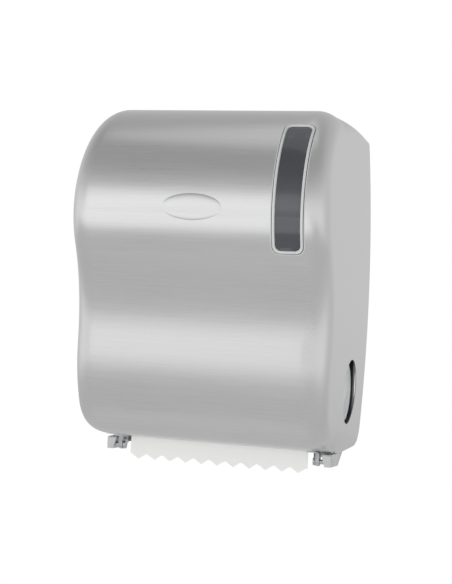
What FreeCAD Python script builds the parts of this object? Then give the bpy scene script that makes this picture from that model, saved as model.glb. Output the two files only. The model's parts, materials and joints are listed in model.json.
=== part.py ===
# Hands-free towel dispenser with a stainless steel cover, for roll towels.
#
# A wall chassis carries two side frames. Between them turn the feed drum, with a serrated knife
# inside it, and a sprung pressure roller. A towel roll hangs on two arms above. The steel cover
# hinges on two lugs at the bottom front, and a hand wheel shows through a hole in its right side.
#
# Frame: X runs along the wall, Y into the wall, Z up. The wall is the plane Y = 0 and the origin
# is on the chassis's wall face, on the centre line, level with the cover's bottom edge. Places are
# given as (x, depth, z), where depth is the distance from the wall towards the user, so Y = -depth.
# All sizes are in millimetres and all angles in degrees.

import FreeCAD, Part
import math
import os
from FreeCAD import Vector

# ---------------------------------------------------------------- driving dimensions

# Cover: bent sheet steel, drawn as a side profile of arcs that run into each other.
sheet = 1.0                     # thickness of the steel
widest_level = 149.0
side_bow_radius = 2334.0        # the side walls are slightly barrelled
rear_toe_radius = 22.0          # rounded lower rear corner of the side walls
skirt_depth = 95.0              # up to here the side walls keep a tight lower edge
bottom_length = 153.5           # flat bottom, from the wall to the heel
heel_radius = 61.0
heel_sweep = 73.5
lower_bulge_radius = 170.0
lower_bulge_sweep = 19.5
waist_flat = 16.6
waist_radius = 155.0
waist_sweep = 32.0
roll_bulge_radius = 105.0
top_fall = 4.2                  # slope of the top, down towards the wall
corner_radius = 27.0            # side to front
wall_corner_radius = 6.0        # the same corner where the top reaches the wall
skirt_radius = 3.0              # lower edge of the side walls, behind skirt_depth
lip_depth = 119.5               # rear edge of the bottom panel
skirt_opening = 2.5             # the open bottom behind the lip is cut up to this level
sweep_gap = 2.3                 # inside of the skirt to the hand wheel, as the cover opens
cover_gap = 9.7                 # spring housing to the cover's widest level

# Window, badge and lock in the cover.
window_inset = 38.8             # from the cover's widest level to the window's middle
window_width = 33.6
window_low = 204.0
window_high = 335.0
window_corner = 8.0
bezel_width = 4.2
bezel_proud = 1.0
bezel_collar = 2.0
lens_thickness = 2.0
badge_level = 247.5
badge_length = 61.0
badge_height = 26.5
badge_proud = 1.4
lock_depth = 34.0
lock_flange_radius = 11.5
lock_barrel_radius = 9.0
lock_plug_radius = 6.0
lock_length = 20.0
lock_proud = 2.0
tongue_reach = 22.0
tongue_width = 9.0
tongue_thickness = 2.0
tongue_drop = 3.6

# Chassis: moulded back plate and the two side frames.
plate_low = -6.0
plate_high = 338.0
plate_thickness = 3.0
rim_depth = 13.0
rim_thickness = 2.5
plate_corner = 14.0
rib_thickness = 2.0
rib_depth = 8.0
rib_levels = (145.0, 165.0, 185.0)
rib_half_spacing = 40.0         # the two upright ribs from the middle
wall_slot_spacing_x = 150.0
wall_slot_spacing_z = 220.0
wall_slot_level = 190.0         # middle of the four slots
wall_slot_radius = 3.0
wall_slot_length = 14.0
slot_boss_wall = 4.0
frame_clearance = 3.5           # between the towel's edge and the side frame
frame_thickness = 4.0
frame_foot_width = 14.0
frame_toe = -5.0                # lowest level of the side frames
frame_rear_low = 10.0           # the side frame's outline, from its lower rear corner
frame_rear_high = 138.0
frame_front = 131.0
frame_screw_levels = (30.0, 120.0)
frame_screw_out = 8.0           # from the side frame's outer face
frame_screw_hole = 2.0

# Hinge at the bottom front.
hinge_depth = 118.0
hinge_level = -8.0
hinge_pin_radius = 2.5
hinge_pin_head = 4.2
lug_gap = 7.5                   # from the side frame to the lug's inner face
lug_width = 10.6
lug_nose = 6.2                  # from the hinge axis to the lug's front face
lug_tail_low = 33.0             # from the hinge axis to the lug's rear, at its sole
lug_tail_high = 56.0            # the same, at its top
lug_sole = -12.5
lug_sole_rear = -15.0
lug_top = -2.4
lug_taper = 22.0                # slope of the lug's inner face
neck_gap = 11.0                 # from the hinge axis to the neck between frame and lug
neck_length = 33.0
neck_top = 6.0
ear_gap = 1.1                   # from the side frame to the cover's ear
ear_thickness = 4.2
ear_foot_length = 20.0
ear_foot_thickness = 1.6

# Feed drum, hand wheel and knife.
drum_depth = 81.6
drum_level = 65.0
drum_radius = 33.9
drum_wall = 3.5
drum_short = 1.0                # the drum ends this far inside the towel's edge
drum_end_thickness = 3.5
ring_proud = 1.0                # rubber rings stand proud of the drum
ring_width = 13.0
ring_count = 6
ring_pitch = 31.0
journal_radius = 6.0
bush_radius = 9.0
bush_flange_radius = 12.0
bush_flange = 1.2
wheel_radius = 33.2
wheel_recess = 10.1             # from the cover's widest level to the wheel's face
wheel_thickness = 8.0
wheel_pocket = 5.0              # depth of the two finger pockets
wheel_rim = 4.0
wheel_cap = 3.5                 # closes the journal's bore at the wheel's face
wheel_hub_radius = 10.0
wheel_hub_length = 13.0         # from the wheel's face to the rear of its hub
wheel_grip_width = 20.0
wheel_grip_turn = 35.0
wheel_hole_radius = 34.6        # hole in the cover's side wall
knife_slot_angle = 250.0        # direction of the drum's slot at rest
knife_slot_low = -15.0
knife_slot_high = 9.5
knife_pivot_out = 14.0
knife_pivot_across = -16.0
knife_trunnion_radius = 2.4
knife_reach = 20.0
knife_blade_reach = 28.0
knife_bar_thickness = 3.0
knife_blade_thickness = 0.9
tooth_pitch = 18.0
tooth_depth = 6.0
tooth_count = 11
cam_inner_radius = 28.5
cam_wall = 3.0
cam_thickness = 1.6
cam_lobe_rise = 4.0
follower_radius = 3.0

# Return spring on the left.
crank_radius = 16.0
crank_thickness = 4.0
crank_pin_radius = 2.5
spring_coil_radius = 5.0
spring_wire = 0.9
anchor_depth = 46.0
anchor_level = 128.0
housing_room = 18.5             # from the left frame to the housing's outer face
housing_wall = 2.0
housing_corner = 14.0

# Pressure roller behind the drum.
pinch_radius = 9.0
pinch_direction = 135.0         # from the drum's axis to the roller's axis
pinch_short = 2.0               # the roller ends this far inside the towel's edge
pinch_shaft_radius = 3.0
pinch_arm_length = 36.8
pinch_arm_thickness = 2.2
pinch_arm_width = 12.0
pinch_spring_radius = 5.4
pinch_spring_length = 16.0

# Towel roll and its arms.
towel_width = 200.0
roll_radius = 90.0
roll_behind_heel = 15.5         # the roll's axis behind the cover's heel
roll_level = 240.0
core_radius = 20.6
core_bore_radius = 19.0
spigot_radius = 15.0
spigot_tip_radius = 11.0
spigot_length = 13.0
spigot_flange = 2.0
spigot_shoulder = 2.5           # the flange stands out this far round the spigot
arm_thickness = 4.0
arm_width = 30.0
arm_rib = 5.0
arm_pivot_depth = 16.0
arm_pivot_inset = 12.0          # from the back plate's rim to the arm's pivot
arm_gap = 3.0                   # from the towel's edge to the roll arm
arm_pivot_radius = 3.0
arm_knuckle_radius = 6.5
arm_knuckle_height = 16.0

# Towel web: from the roll, round the pressure roller and over the drum, and out at the slot.
web_thickness = 0.4
tail_end = -22.0                # tips of the torn edge
tail_tooth = 6.0

# Clearances.
running = 0.05                  # radial, shaft in bore
free_gap = 0.35                 # between curved faces that pass each other
side_gap = 0.4                  # between flat faces that pass each other

# ---------------------------------------------------------------- derived sizes

drum_grip_radius = drum_radius + ring_proud
web_gap = free_gap + web_thickness / 2
web_drum_radius = drum_grip_radius + web_gap
web_pinch_radius = pinch_radius + web_gap
pinch_distance = web_drum_radius + web_pinch_radius
pinch_depth = drum_depth + pinch_distance * math.cos(math.radians(pinch_direction))
pinch_level = drum_level + pinch_distance * math.sin(math.radians(pinch_direction))
pinch_pivot_angle = math.radians(pinch_direction + 90.0)
pinch_pivot_depth = pinch_depth + pinch_arm_length * math.cos(pinch_pivot_angle)
pinch_pivot_level = pinch_level + pinch_arm_length * math.sin(pinch_pivot_angle)
roll_bulge_sweep = 180.0 + top_fall - (heel_sweep + lower_bulge_sweep - waist_sweep)
frame_inside = towel_width / 2 + frame_clearance
frame_outside = frame_inside + frame_thickness
plate_half_width = frame_outside + frame_foot_width + rim_thickness
housing_outside = frame_outside + housing_room
cover_half_width = housing_outside + cover_gap
window_centre_x = cover_half_width - window_inset
wheel_face = cover_half_width - wheel_recess
neck_front = hinge_depth - neck_gap
neck_rear = neck_front - neck_length
lug_inside = frame_outside + lug_gap
lug_outside = lug_inside + lug_width
ear_inside = frame_outside + ear_gap
drum_half_length = towel_width / 2 - drum_short
pinch_half_length = towel_width / 2 - pinch_short
roll_depth = bottom_length - roll_behind_heel
arm_inside = towel_width / 2 + arm_gap
arm_pivot_x = plate_half_width - rim_thickness - arm_pivot_inset
outside_reach = 2 * cover_half_width    # larger than any part, for cutting tools


# ---------------------------------------------------------------- helpers

def at(x, depth, z):
    """A point given by its place along the wall, its depth from the wall and its height."""
    return Vector(x, -depth, z)


def along_x(length):
    return Vector(length, 0, 0)


def block(x_low, x_high, depth_low, depth_high, z_low, z_high):
    size = (x_high - x_low, depth_high - depth_low, z_high - z_low)
    return Part.makeBox(*size, at(x_low, depth_high, z_low))


def rod(x_low, x_high, depth, z, radius):
    """A round bar along X."""
    return Part.makeCylinder(radius, x_high - x_low, at(x_low, depth, z), Vector(1, 0, 0))


def tube(x_low, x_high, depth, z, outer, inner):
    return rod(x_low, x_high, depth, z, outer).cut(rod(x_low, x_high, depth, z, inner))


def post(x, depth, z_low, z_high, radius):
    """A round bar along Z."""
    return Part.makeCylinder(radius, z_high - z_low, at(x, depth, z_low), Vector(0, 0, 1))


def peg(x, z, depth_low, depth_high, radius):
    """A round bar that stands out from the wall."""
    return Part.makeCylinder(radius, depth_high - depth_low, at(x, depth_low, z), Vector(0, -1, 0))


def side_plate(points, x_low, x_high):
    """A flat plate square to X, whose outline is a list of (depth, z) corners."""
    corners = [at(x_low, depth, z) for depth, z in points]
    face = Part.Face(Part.makePolygon(corners + corners[:1]))
    return face.extrude(along_x(x_high - x_low))


def rounded(solid, radius, direction):
    """Round the edges of a prism that run along one direction."""
    edges = [edge for edge in solid.Edges if runs_along(edge, direction)]
    return solid.makeFillet(radius, edges)


def runs_along(edge, direction):
    start = edge.valueAt(edge.FirstParameter)
    end = edge.valueAt(edge.LastParameter)
    chord = end - start
    return chord.Length > 1e-6 and chord.cross(direction).Length < 1e-6 * chord.Length


def mirrored(solid):
    """The same piece on the other side of the centre line."""
    return solid.mirror(Vector(0, 0, 0), Vector(1, 0, 0))


def both_sides(solid):
    return Part.makeCompound([solid, mirrored(solid)])


def fused(first, *others):
    whole = first
    for other in others:
        whole = whole.fuse(other)
    return whole.removeSplitter()


class Outline:
    """Draws a side outline at x = 0 as lines and arcs that run into each other."""

    def __init__(self, depth, z, heading):
        self.depth = depth
        self.z = z
        self.heading = math.radians(heading)
        self.edges = []

    def line(self, length):
        depth = self.depth + length * math.cos(self.heading)
        z = self.z + length * math.sin(self.heading)
        self.line_to(depth, z)

    def line_to(self, depth, z):
        segment = Part.LineSegment(at(0, self.depth, self.z), at(0, depth, z))
        self.edges.append(segment.toShape())
        self.depth, self.z = depth, z

    def arc(self, radius, sweep):
        """Turn left by sweep degrees, or right where sweep is negative."""
        side = math.copysign(1.0, sweep)
        turn = math.radians(sweep)
        centre_depth = self.depth - side * radius * math.sin(self.heading)
        centre_z = self.z + side * radius * math.cos(self.heading)

        def place(angle):
            heading = self.heading + angle
            return (centre_depth + side * radius * math.sin(heading),
                    centre_z - side * radius * math.cos(heading))

        middle, end = place(turn / 2), place(turn)
        self.edges.append(Part.Arc(at(0, self.depth, self.z), at(0, *middle), at(0, *end)).toShape())
        self.depth, self.z = end
        self.heading += turn

    def solid(self, x_low, x_high):
        face = Part.Face(Part.Wire(self.edges))
        face.translate(along_x(x_low))
        return face.extrude(along_x(x_high - x_low))


# ---------------------------------------------------------------- the cover's form

def side_half_width(z, inset=0.0):
    """Half the cover's width at one level, less an inset from its outside."""
    rise = z - widest_level
    radius = side_bow_radius - inset
    return cover_half_width - side_bow_radius + math.sqrt(radius * radius - rise * rise)


def cover_profile(inset, rear, skirted=True):
    """Side outline, counter-clockwise from the lower rear corner."""
    outline = Outline(rear, rear_toe_radius, -90)
    outline.arc(rear_toe_radius - inset, 90)
    if skirted:
        outline.line(skirt_depth - outline.depth)
    outline.line(bottom_length - outline.depth)
    outline.arc(heel_radius - inset, heel_sweep)
    outline.arc(lower_bulge_radius - inset, lower_bulge_sweep)
    outline.line(waist_flat)
    outline.arc(waist_radius + inset, -waist_sweep)
    outline.arc(roll_bulge_radius - inset, roll_bulge_sweep)
    outline.line((outline.depth - rear) / math.cos(math.radians(top_fall)))
    outline.line_to(rear, rear_toe_radius)
    return outline


def barrel(inset, depth_low, depth_high, z_low, z_high):
    """A prism along Y between the two bowed side walls."""
    right = [at(side_half_width(z, inset), depth_low, z) for z in (z_low, widest_level, z_high)]
    left = [Vector(-point.x, point.y, point.z) for point in reversed(right)]
    edges = [Part.Arc(*right).toShape(),
             Part.LineSegment(right[-1], left[0]).toShape(),
             Part.Arc(*left).toShape(),
             Part.LineSegment(left[-1], right[0]).toShape()]
    return Part.Face(Part.Wire(edges)).extrude(at(0, depth_high - depth_low, 0))


def envelope(inset, rear=0.0, skirted=True):
    """The cover's outside as a closed solid, or the same solid shrunk all round.

    Without its skirt, the lower edge's radius grows evenly from the wall to the heel.
    """
    rear_radius = skirt_radius if skirted else wall_corner_radius
    outline = cover_profile(inset, rear, skirted)
    tall = outline.solid(-outside_reach, outside_reach)
    crown = tall.BoundBox.ZMax
    form = tall.common(barrel(inset, rear - 5.0, outside_reach * 1.2, -20.0, crown + 20.0))
    document = FreeCAD.newDocument()
    base = document.addObject("Part::Feature")
    base.Shape = form
    corners = document.addObject("Part::Fillet")
    corners.Base = base
    radii = []
    for number, edge in enumerate(form.Edges, 1):
        ends = [-edge.valueAt(value).y for value in (edge.FirstParameter, edge.LastParameter)]
        middle = edge.valueAt((edge.FirstParameter + edge.LastParameter) / 2)
        on_side = abs(abs(middle.x) - side_half_width(middle.z, inset)) < 0.01
        if not on_side or max(ends) - rear < 1e-6:
            continue
        on_bottom = middle.z < inset + 1e-3
        first = last = corner_radius
        if max(ends) <= rear_toe_radius + 1e-6:
            first = last = rear_radius
        elif on_bottom and max(ends) <= skirt_depth + 1e-6:
            first = last = rear_radius
        elif on_bottom:
            first = rear_radius
        elif middle.z > widest_level and min(ends) - rear < 1e-6:
            last = wall_corner_radius
        radii.append((number, first - inset, last - inset))
    corners.Edges = radii
    document.recompute()
    solid = corners.Shape.copy()
    FreeCAD.closeDocument(document.Name)
    return solid


def skin(outer, inner):
    """The layer between two insets of the cover's form. Negative insets stand proud."""
    return envelope(outer, -5.0, False).cut(envelope(inner, -10.0, False))


def window_prism(inset):
    width = window_width - 2 * inset
    left = window_centre_x - width / 2
    prism = block(left, left + width, lip_depth, outside_reach * 1.2,
                  window_low + inset, window_high - inset)
    return rounded(prism, window_corner - inset / 2, Vector(0, 1, 0))


def oval_prism(x, z, length, height, depth_low, depth_high):
    wide, tall = max(length, height) / 2, min(length, height) / 2
    ellipse = Part.Ellipse(at(x + wide, depth_low, z), at(x, depth_low, z + tall), at(x, depth_low, z))
    face = Part.Face(Part.Wire([ellipse.toShape()]))
    return face.extrude(at(0, depth_high - depth_low, 0))


# ---------------------------------------------------------------- cover and what it carries

cover_outside = envelope(0.0)


def level_of_top(depth):
    """Height of the cover's sloping top at one depth."""
    outline = cover_profile(0.0, 0.0)
    slope = outline.edges[-2]
    wall_end = slope.valueAt(slope.LastParameter)
    return wall_end.z + depth * math.tan(math.radians(top_fall))


def make_cover_shell():
    shell = cover_outside.cut(envelope(sheet, -10.0))
    skirt_inside = wheel_face + sweep_gap
    shell = shell.cut(block(-skirt_inside, skirt_inside, -1.0, lip_depth, -5.0, skirt_opening))
    shell = shell.cut(window_prism(bezel_collar))
    shell = shell.cut(rod(0, outside_reach, drum_depth, drum_level, wheel_hole_radius))
    shell = shell.cut(post(0, lock_depth, plate_high - lock_length, plate_high + lock_length,
                           lock_barrel_radius))
    return shell


def make_window_bezel():
    ring = window_prism(0.0).cut(window_prism(bezel_width))
    flange = ring.common(skin(-bezel_proud, 0.0))
    collar = window_prism(bezel_collar).cut(window_prism(bezel_width))
    collar = collar.common(skin(0.0, sheet + lens_thickness + 1.0))
    return fused(flange, collar)


def make_window_lens():
    return window_prism(bezel_width).common(skin(sheet, sheet + lens_thickness))


def make_badge():
    prism = oval_prism(0, badge_level, badge_length, badge_height, lip_depth, outside_reach * 1.2)
    return prism.common(skin(-badge_proud, 0.0))


def make_cover_ear():
    """Right ear: a tab round the hinge pin, with a foot under the bottom panel."""
    high = ear_inside + ear_thickness
    knuckle = hinge_pin_radius + 2.1
    tab = block(ear_inside, high, hinge_depth - knuckle, hinge_depth + knuckle,
                hinge_level, -ear_foot_thickness)
    eye = rod(ear_inside, high, hinge_depth, hinge_level, knuckle)
    foot = block(ear_inside - 6.0, high, lip_depth, lip_depth + ear_foot_length,
                 -ear_foot_thickness, 0.0)
    bridge = block(ear_inside, high, hinge_depth - knuckle, lip_depth + ear_foot_length,
                   -ear_foot_thickness, 0.0)
    bore = rod(ear_inside - 1, high + 1, hinge_depth, hinge_level, hinge_pin_radius + running)
    return fused(tab, eye, foot, bridge).cut(bore)


def make_lock_barrel():
    top = level_of_top(lock_depth) + lock_proud
    flange = post(0, lock_depth, top - 2 * lock_proud - 2.0, top, lock_flange_radius)
    flange = flange.cut(cover_outside)
    body = post(0, lock_depth, top - lock_length, top, lock_barrel_radius)
    bore = post(0, lock_depth, top - lock_length - 1, top + 1, lock_plug_radius + running)
    return fused(flange, body).cut(bore)


def make_lock_plug():
    top = level_of_top(lock_depth) + lock_proud - 0.4
    plug = post(0, lock_depth, top - lock_length - side_gap, top, lock_plug_radius)
    keyway = block(-0.8, 0.8, lock_depth - 3.5, lock_depth + 3.5, top - 6.0, top + 1.0)
    return plug.cut(keyway)


def make_lock_tongue():
    """Turned aside at rest; a right-hand quarter turn brings its hook behind the catch."""
    high = level_of_top(lock_depth) + lock_proud - 0.4 - lock_length - side_gap
    low = high - tongue_thickness
    half = tongue_width / 2
    bar = block(0, tongue_reach, lock_depth - half, lock_depth + half, low, high)
    hub = post(0, lock_depth, low, high, lock_plug_radius)
    hook = block(tongue_reach - 3.0, tongue_reach, lock_depth - half, lock_depth + half,
                 low - tongue_drop, low)
    return fused(bar, hub, hook)


# ---------------------------------------------------------------- chassis

def make_back_plate():
    plate = block(-plate_half_width, plate_half_width, 0, rim_depth, plate_low, plate_high)
    plate = rounded(plate, plate_corner, Vector(0, 1, 0))
    inside = block(-plate_half_width + rim_thickness, plate_half_width - rim_thickness,
                   plate_thickness, rim_depth + 1,
                   plate_low + rim_thickness, plate_high - rim_thickness)
    inside = rounded(inside, plate_corner - rim_thickness, Vector(0, 1, 0))
    plate = plate.cut(inside)
    ribs = []
    for z in rib_levels:
        ribs.append(block(-plate_half_width + rim_thickness, plate_half_width - rim_thickness,
                          plate_thickness, rib_depth, z, z + rib_thickness))
    for x in (-rib_half_spacing, rib_half_spacing):
        ribs.append(block(x - rib_thickness / 2, x + rib_thickness / 2,
                          plate_thickness, rib_depth, rib_levels[0], plate_high - rim_thickness))
    for x, z in wall_slot_places():
        ribs.append(slot_prism(x, z, wall_slot_radius + slot_boss_wall, plate_thickness, rib_depth))
    plate = fused(plate, *ribs)
    for x, z in wall_slot_places():
        plate = plate.cut(slot_prism(x, z, wall_slot_radius, -1, rim_depth))
    return plate


def wall_slot_places():
    return [(x, wall_slot_level + z)
            for x in (-wall_slot_spacing_x / 2, wall_slot_spacing_x / 2)
            for z in (-wall_slot_spacing_z / 2, wall_slot_spacing_z / 2)]


def slot_prism(x, z, radius, depth_low, depth_high):
    """A stadium along X, for a slotted hole or the boss round it."""
    half = wall_slot_length / 2 - wall_slot_radius
    middle = block(x - half, x + half, depth_low, depth_high, z - radius, z + radius)
    ends = [peg(x + side * half, z, depth_low, depth_high, radius) for side in (-1, 1)]
    return fused(middle, *ends)


def make_side_frame():
    """Right frame. Its foot is screwed to the back plate and its toe carries the hinge lug."""
    points = [(plate_thickness, frame_rear_low), (neck_rear - 8.0, frame_rear_low),
              (neck_rear, frame_toe), (neck_front, frame_toe), (neck_front, neck_top),
              (frame_front - 5.0, neck_top + 16.0), (frame_front, neck_top + 38.0),
              (frame_front, frame_rear_high - 46.0), (frame_front - 13.0, frame_rear_high - 20.0),
              (frame_front - 61.0, frame_rear_high), (plate_thickness, frame_rear_high)]
    frame = side_plate(points, frame_inside, frame_outside)
    foot = block(frame_outside, frame_outside + frame_foot_width, plate_thickness,
                 plate_thickness + frame_thickness,
                 frame_screw_levels[0] - 12.0, frame_screw_levels[1] + 12.0)
    frame = fused(frame, foot)
    for z in frame_screw_levels:
        frame = frame.cut(peg(frame_outside + frame_screw_out, z, 0, rim_depth, frame_screw_hole))
    frame = frame.cut(rod(frame_inside - 1, frame_outside + 1, drum_depth, drum_level, bush_radius))
    frame = frame.cut(rod(frame_inside - 1, frame_outside + 1,
                          pinch_pivot_depth, pinch_pivot_level, pinch_shaft_radius))
    return frame


def make_hinge_lug():
    """Right lug: a tapered foot below the cover, joined to the frame's toe by a neck."""
    front = hinge_depth + lug_nose
    points = [(front, lug_sole), (front, lug_top), (hinge_depth - lug_tail_high, lug_top),
              (hinge_depth - lug_tail_low, lug_sole_rear)]
    foot = side_plate(points, lug_inside, lug_outside)
    foot = foot.makeFillet(2.6, [edge for edge in foot.Edges
                                 if runs_along(edge, Vector(1, 0, 0))
                                 and edge.BoundBox.ZMin > lug_top - 0.1
                                 and edge.BoundBox.YMax < -front + 0.1])
    taper = side_plate([(front + 1, lug_sole_rear - 4), (front + 1, lug_top + 2),
                        (hinge_depth - lug_tail_high - 1, lug_top + 2),
                        (hinge_depth - lug_tail_high - 1, lug_sole_rear - 4)], -lug_width, 0)
    taper.rotate(Vector(0, 0, lug_top), Vector(0, 1, 0), -lug_taper)
    taper.translate(along_x(lug_inside))
    foot = foot.cut(taper)
    neck = block(frame_outside, lug_outside - 2.0, neck_rear, neck_front, frame_toe, neck_top)
    bore = rod(lug_inside - 5, lug_outside - 2.0, hinge_depth, hinge_level, hinge_pin_radius)
    return fused(foot, neck).cut(bore)


def make_hinge_pin():
    shank = rod(ear_inside - side_gap, lug_outside - 2.0, hinge_depth, hinge_level, hinge_pin_radius)
    head = rod(ear_inside - side_gap - 2.4, ear_inside - side_gap,
               hinge_depth, hinge_level, hinge_pin_head)
    return fused(shank, head)


def make_lock_catch():
    """Bracket on the back plate, with an upturned lip that the lock's hook goes behind."""
    tongue_low = (level_of_top(lock_depth) + lock_proud - 0.4 - lock_length - side_gap
                  - tongue_thickness)
    lip_far = lock_depth - tongue_reach + 3.0 + 5.5
    sole = tongue_low - tongue_drop - 4.0
    arm = block(-6.0, 6.0, plate_thickness, lip_far, sole, sole + 2.0)
    lip = block(-6.0, 6.0, lip_far - 2.5, lip_far, sole, tongue_low - 0.6)
    foot = block(-6.0, 6.0, plate_thickness, plate_thickness + 2.0, sole - 16.0, sole + 2.0)
    return fused(arm, lip, foot)


def make_frame_screws():
    """Four pan-head screws that hold the side frames' feet to the back plate."""
    screws = []
    for side in (-1, 1):
        for z in frame_screw_levels:
            x = side * (frame_outside + frame_screw_out)
            face = plate_thickness + frame_thickness
            head = peg(x, z, face, face + 2.4, 3.8)
            shank = peg(x, z, plate_thickness, face, frame_screw_hole - 0.1)
            screws.append(fused(head, shank))
    return Part.makeCompound(screws)


# ---------------------------------------------------------------- drum, knife and hand wheel

def drum_local(out, across):
    """A place in the drum, measured towards its slot and across it, as (depth, z)."""
    angle = math.radians(knife_slot_angle)
    depth = drum_depth + out * math.cos(angle) - across * math.sin(angle)
    z = drum_level + out * math.sin(angle) + across * math.cos(angle)
    return depth, z


def drum_plate(corners, x_low, x_high):
    return side_plate([drum_local(*corner) for corner in corners], x_low, x_high)


def make_drum_shell():
    half = drum_half_length - drum_end_thickness
    shell = tube(-half, half, drum_depth, drum_level, drum_radius, drum_radius - drum_wall)
    slot = drum_plate([(knife_pivot_out, knife_slot_low), (drum_radius * 2, knife_slot_low),
                       (drum_radius * 2, knife_slot_high), (knife_pivot_out, knife_slot_high)],
                      -half + 3.0, half - 3.0)
    return shell.cut(slot)


def make_drum_end():
    """Right end disc with its journal, which runs on through the frame."""
    low = drum_half_length - drum_end_thickness
    disc = rod(low, drum_half_length, drum_depth, drum_level, drum_radius)
    spigot = tube(low - 5.0, low, drum_depth, drum_level,
                  drum_radius - drum_wall, drum_radius - drum_wall - 2.5)
    spigot = spigot.cut(drum_plate([(0, knife_slot_low - 1), (drum_radius * 2, knife_slot_low - 1),
                                    (drum_radius * 2, knife_slot_high + 1), (0, knife_slot_high + 1)],
                                   low - 6.0, low))
    journal = rod(drum_half_length, wheel_face - wheel_cap, drum_depth, drum_level, journal_radius)
    depth, z = drum_local(knife_pivot_out, knife_pivot_across)
    eye = rod(low - 1, drum_half_length + 1, depth, z, knife_trunnion_radius + running)
    return fused(disc, spigot, journal).cut(eye)


def make_drum_end_left():
    """Left end disc, whose journal ends at the return crank."""
    right = mirrored(make_drum_end())
    crank_end = -(frame_outside + bush_flange + side_gap + crank_thickness)
    return right.cut(block(-outside_reach, crank_end, 0, 2 * drum_depth, 0, 2 * drum_level))


def make_grip_rings():
    """Rubber rings round the drum, each open where the knife comes out."""
    rings = []
    first = -ring_pitch * (ring_count - 1) / 2
    slot = drum_plate([(0, knife_slot_low), (drum_radius * 2, knife_slot_low),
                       (drum_radius * 2, knife_slot_high), (0, knife_slot_high)],
                      -drum_half_length, drum_half_length)
    for number in range(ring_count):
        middle = first + number * ring_pitch
        ring = tube(middle - ring_width / 2, middle + ring_width / 2, drum_depth, drum_level,
                    drum_grip_radius, drum_radius)
        rings.append(ring.cut(slot))
    return Part.makeCompound(rings)


def make_bush():
    body = rod(frame_inside, frame_outside, drum_depth, drum_level, bush_radius)
    flange = rod(frame_outside, frame_outside + bush_flange, drum_depth, drum_level,
                 bush_flange_radius)
    bore = rod(frame_inside - 1, frame_outside + bush_flange + 1, drum_depth, drum_level,
               journal_radius + running)
    return fused(body, flange).cut(bore)


def make_feed_wheel():
    """A disc with a grip bar between two pockets, so that a finger can turn it inside the cover."""
    disc = rod(wheel_face - wheel_thickness, wheel_face, drum_depth, drum_level, wheel_radius)
    disc = disc.makeFillet(1.5, [edge for edge in disc.Edges if edge.BoundBox.XMin > wheel_face - 0.1])
    floor = wheel_face - wheel_pocket
    pocket = rod(floor, wheel_face + 1, drum_depth, drum_level, wheel_radius - wheel_rim)
    grip = block(floor, wheel_face, drum_depth - wheel_radius, drum_depth + wheel_radius,
                 drum_level - wheel_grip_width / 2, drum_level + wheel_grip_width / 2)
    grip.rotate(at(0, drum_depth, drum_level), Vector(1, 0, 0), wheel_grip_turn)
    hub_rear = wheel_face - wheel_hub_length
    hub = rod(hub_rear, wheel_face - wheel_thickness, drum_depth, drum_level, wheel_hub_radius)
    bore = rod(hub_rear - 1, wheel_face - wheel_cap, drum_depth, drum_level, journal_radius)
    return fused(disc.cut(pocket.cut(grip)), hub).cut(bore)


def knife_place(along, away):
    """A place in the knife, along its arm from the pivot and away from its inner face."""
    rest = math.atan2(8.0, 27.0)
    out = knife_pivot_out + along * math.sin(rest) + away * math.cos(rest)
    across = knife_pivot_across + along * math.cos(rest) - away * math.sin(rest)
    return drum_local(out, across)


def make_knife_carrier():
    half = drum_half_length - drum_end_thickness - 6.0
    low, high = -knife_bar_thickness / 2, knife_bar_thickness / 2
    corners = [(0, low), (knife_reach, low), (knife_reach, high), (0, high)]
    bar = side_plate([knife_place(*corner) for corner in corners], -half, half)
    depth, z = drum_local(knife_pivot_out, knife_pivot_across)
    hinge = rod(-half, half, depth, z, knife_trunnion_radius + 1.0)
    trunnions = rod(-drum_half_length - side_gap - 2.0, drum_half_length, depth, z,
                    knife_trunnion_radius)
    return fused(bar, hinge, trunnions)


def make_knife_blade():
    """Serrated blade under the carrier's outer face."""
    half = tooth_pitch * tooth_count / 2
    limit = drum_half_length - drum_end_thickness - 6.0
    half = min(half, limit)
    low = knife_bar_thickness / 2
    root = knife_blade_reach - tooth_depth
    body = side_plate([knife_place(*corner) for corner in
                       [(knife_reach - 9.0, low), (root, low),
                        (root, low + knife_blade_thickness),
                        (knife_reach - 9.0, low + knife_blade_thickness)]], -half, half)
    teeth = []
    count = int(2 * half // tooth_pitch)
    start = -count * tooth_pitch / 2
    for number in range(count):
        left = start + number * tooth_pitch
        profile = [(left, root), (left + tooth_pitch, root), (left + tooth_pitch / 2, knife_blade_reach)]
        points = []
        for x, along in profile:
            depth, z = knife_place(along, low)
            points.append(at(x, depth, z))
        top_depth, top_z = knife_place(root, low + knife_blade_thickness)
        base_depth, base_z = knife_place(root, low)
        thickness = at(0, top_depth - base_depth, top_z - base_z)
        face = Part.Face(Part.makePolygon(points + points[:1]))
        teeth.append(face.extrude(thickness))
    return fused(body, *teeth)


def make_cam_follower():
    """Lever and roller on the knife's left trunnion, which run inside the cam ring."""
    depth, z = drum_local(knife_pivot_out, knife_pivot_across)
    low = -drum_half_length - side_gap - 1.6
    high = -drum_half_length - side_gap
    tip = drum_local(knife_pivot_out + 4.0, knife_pivot_across + 9.0)
    lever = fused(rod(low, high, depth, z, follower_radius + 1.2),
                  rod(low, high, tip[0], tip[1], follower_radius))
    across = Vector(0, -(tip[0] - depth), tip[1] - z)
    normal = across.cross(Vector(1, 0, 0)).normalize() * follower_radius
    start, end = at(low, depth, z), at(low, *tip)
    corners = [start + normal, end + normal, end - normal, start - normal]
    web = Part.Face(Part.makePolygon(corners + corners[:1])).extrude(along_x(high - low))
    bore = rod(low - 1, high + 1, depth, z, knife_trunnion_radius)
    return fused(lever, web).cut(bore)


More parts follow.
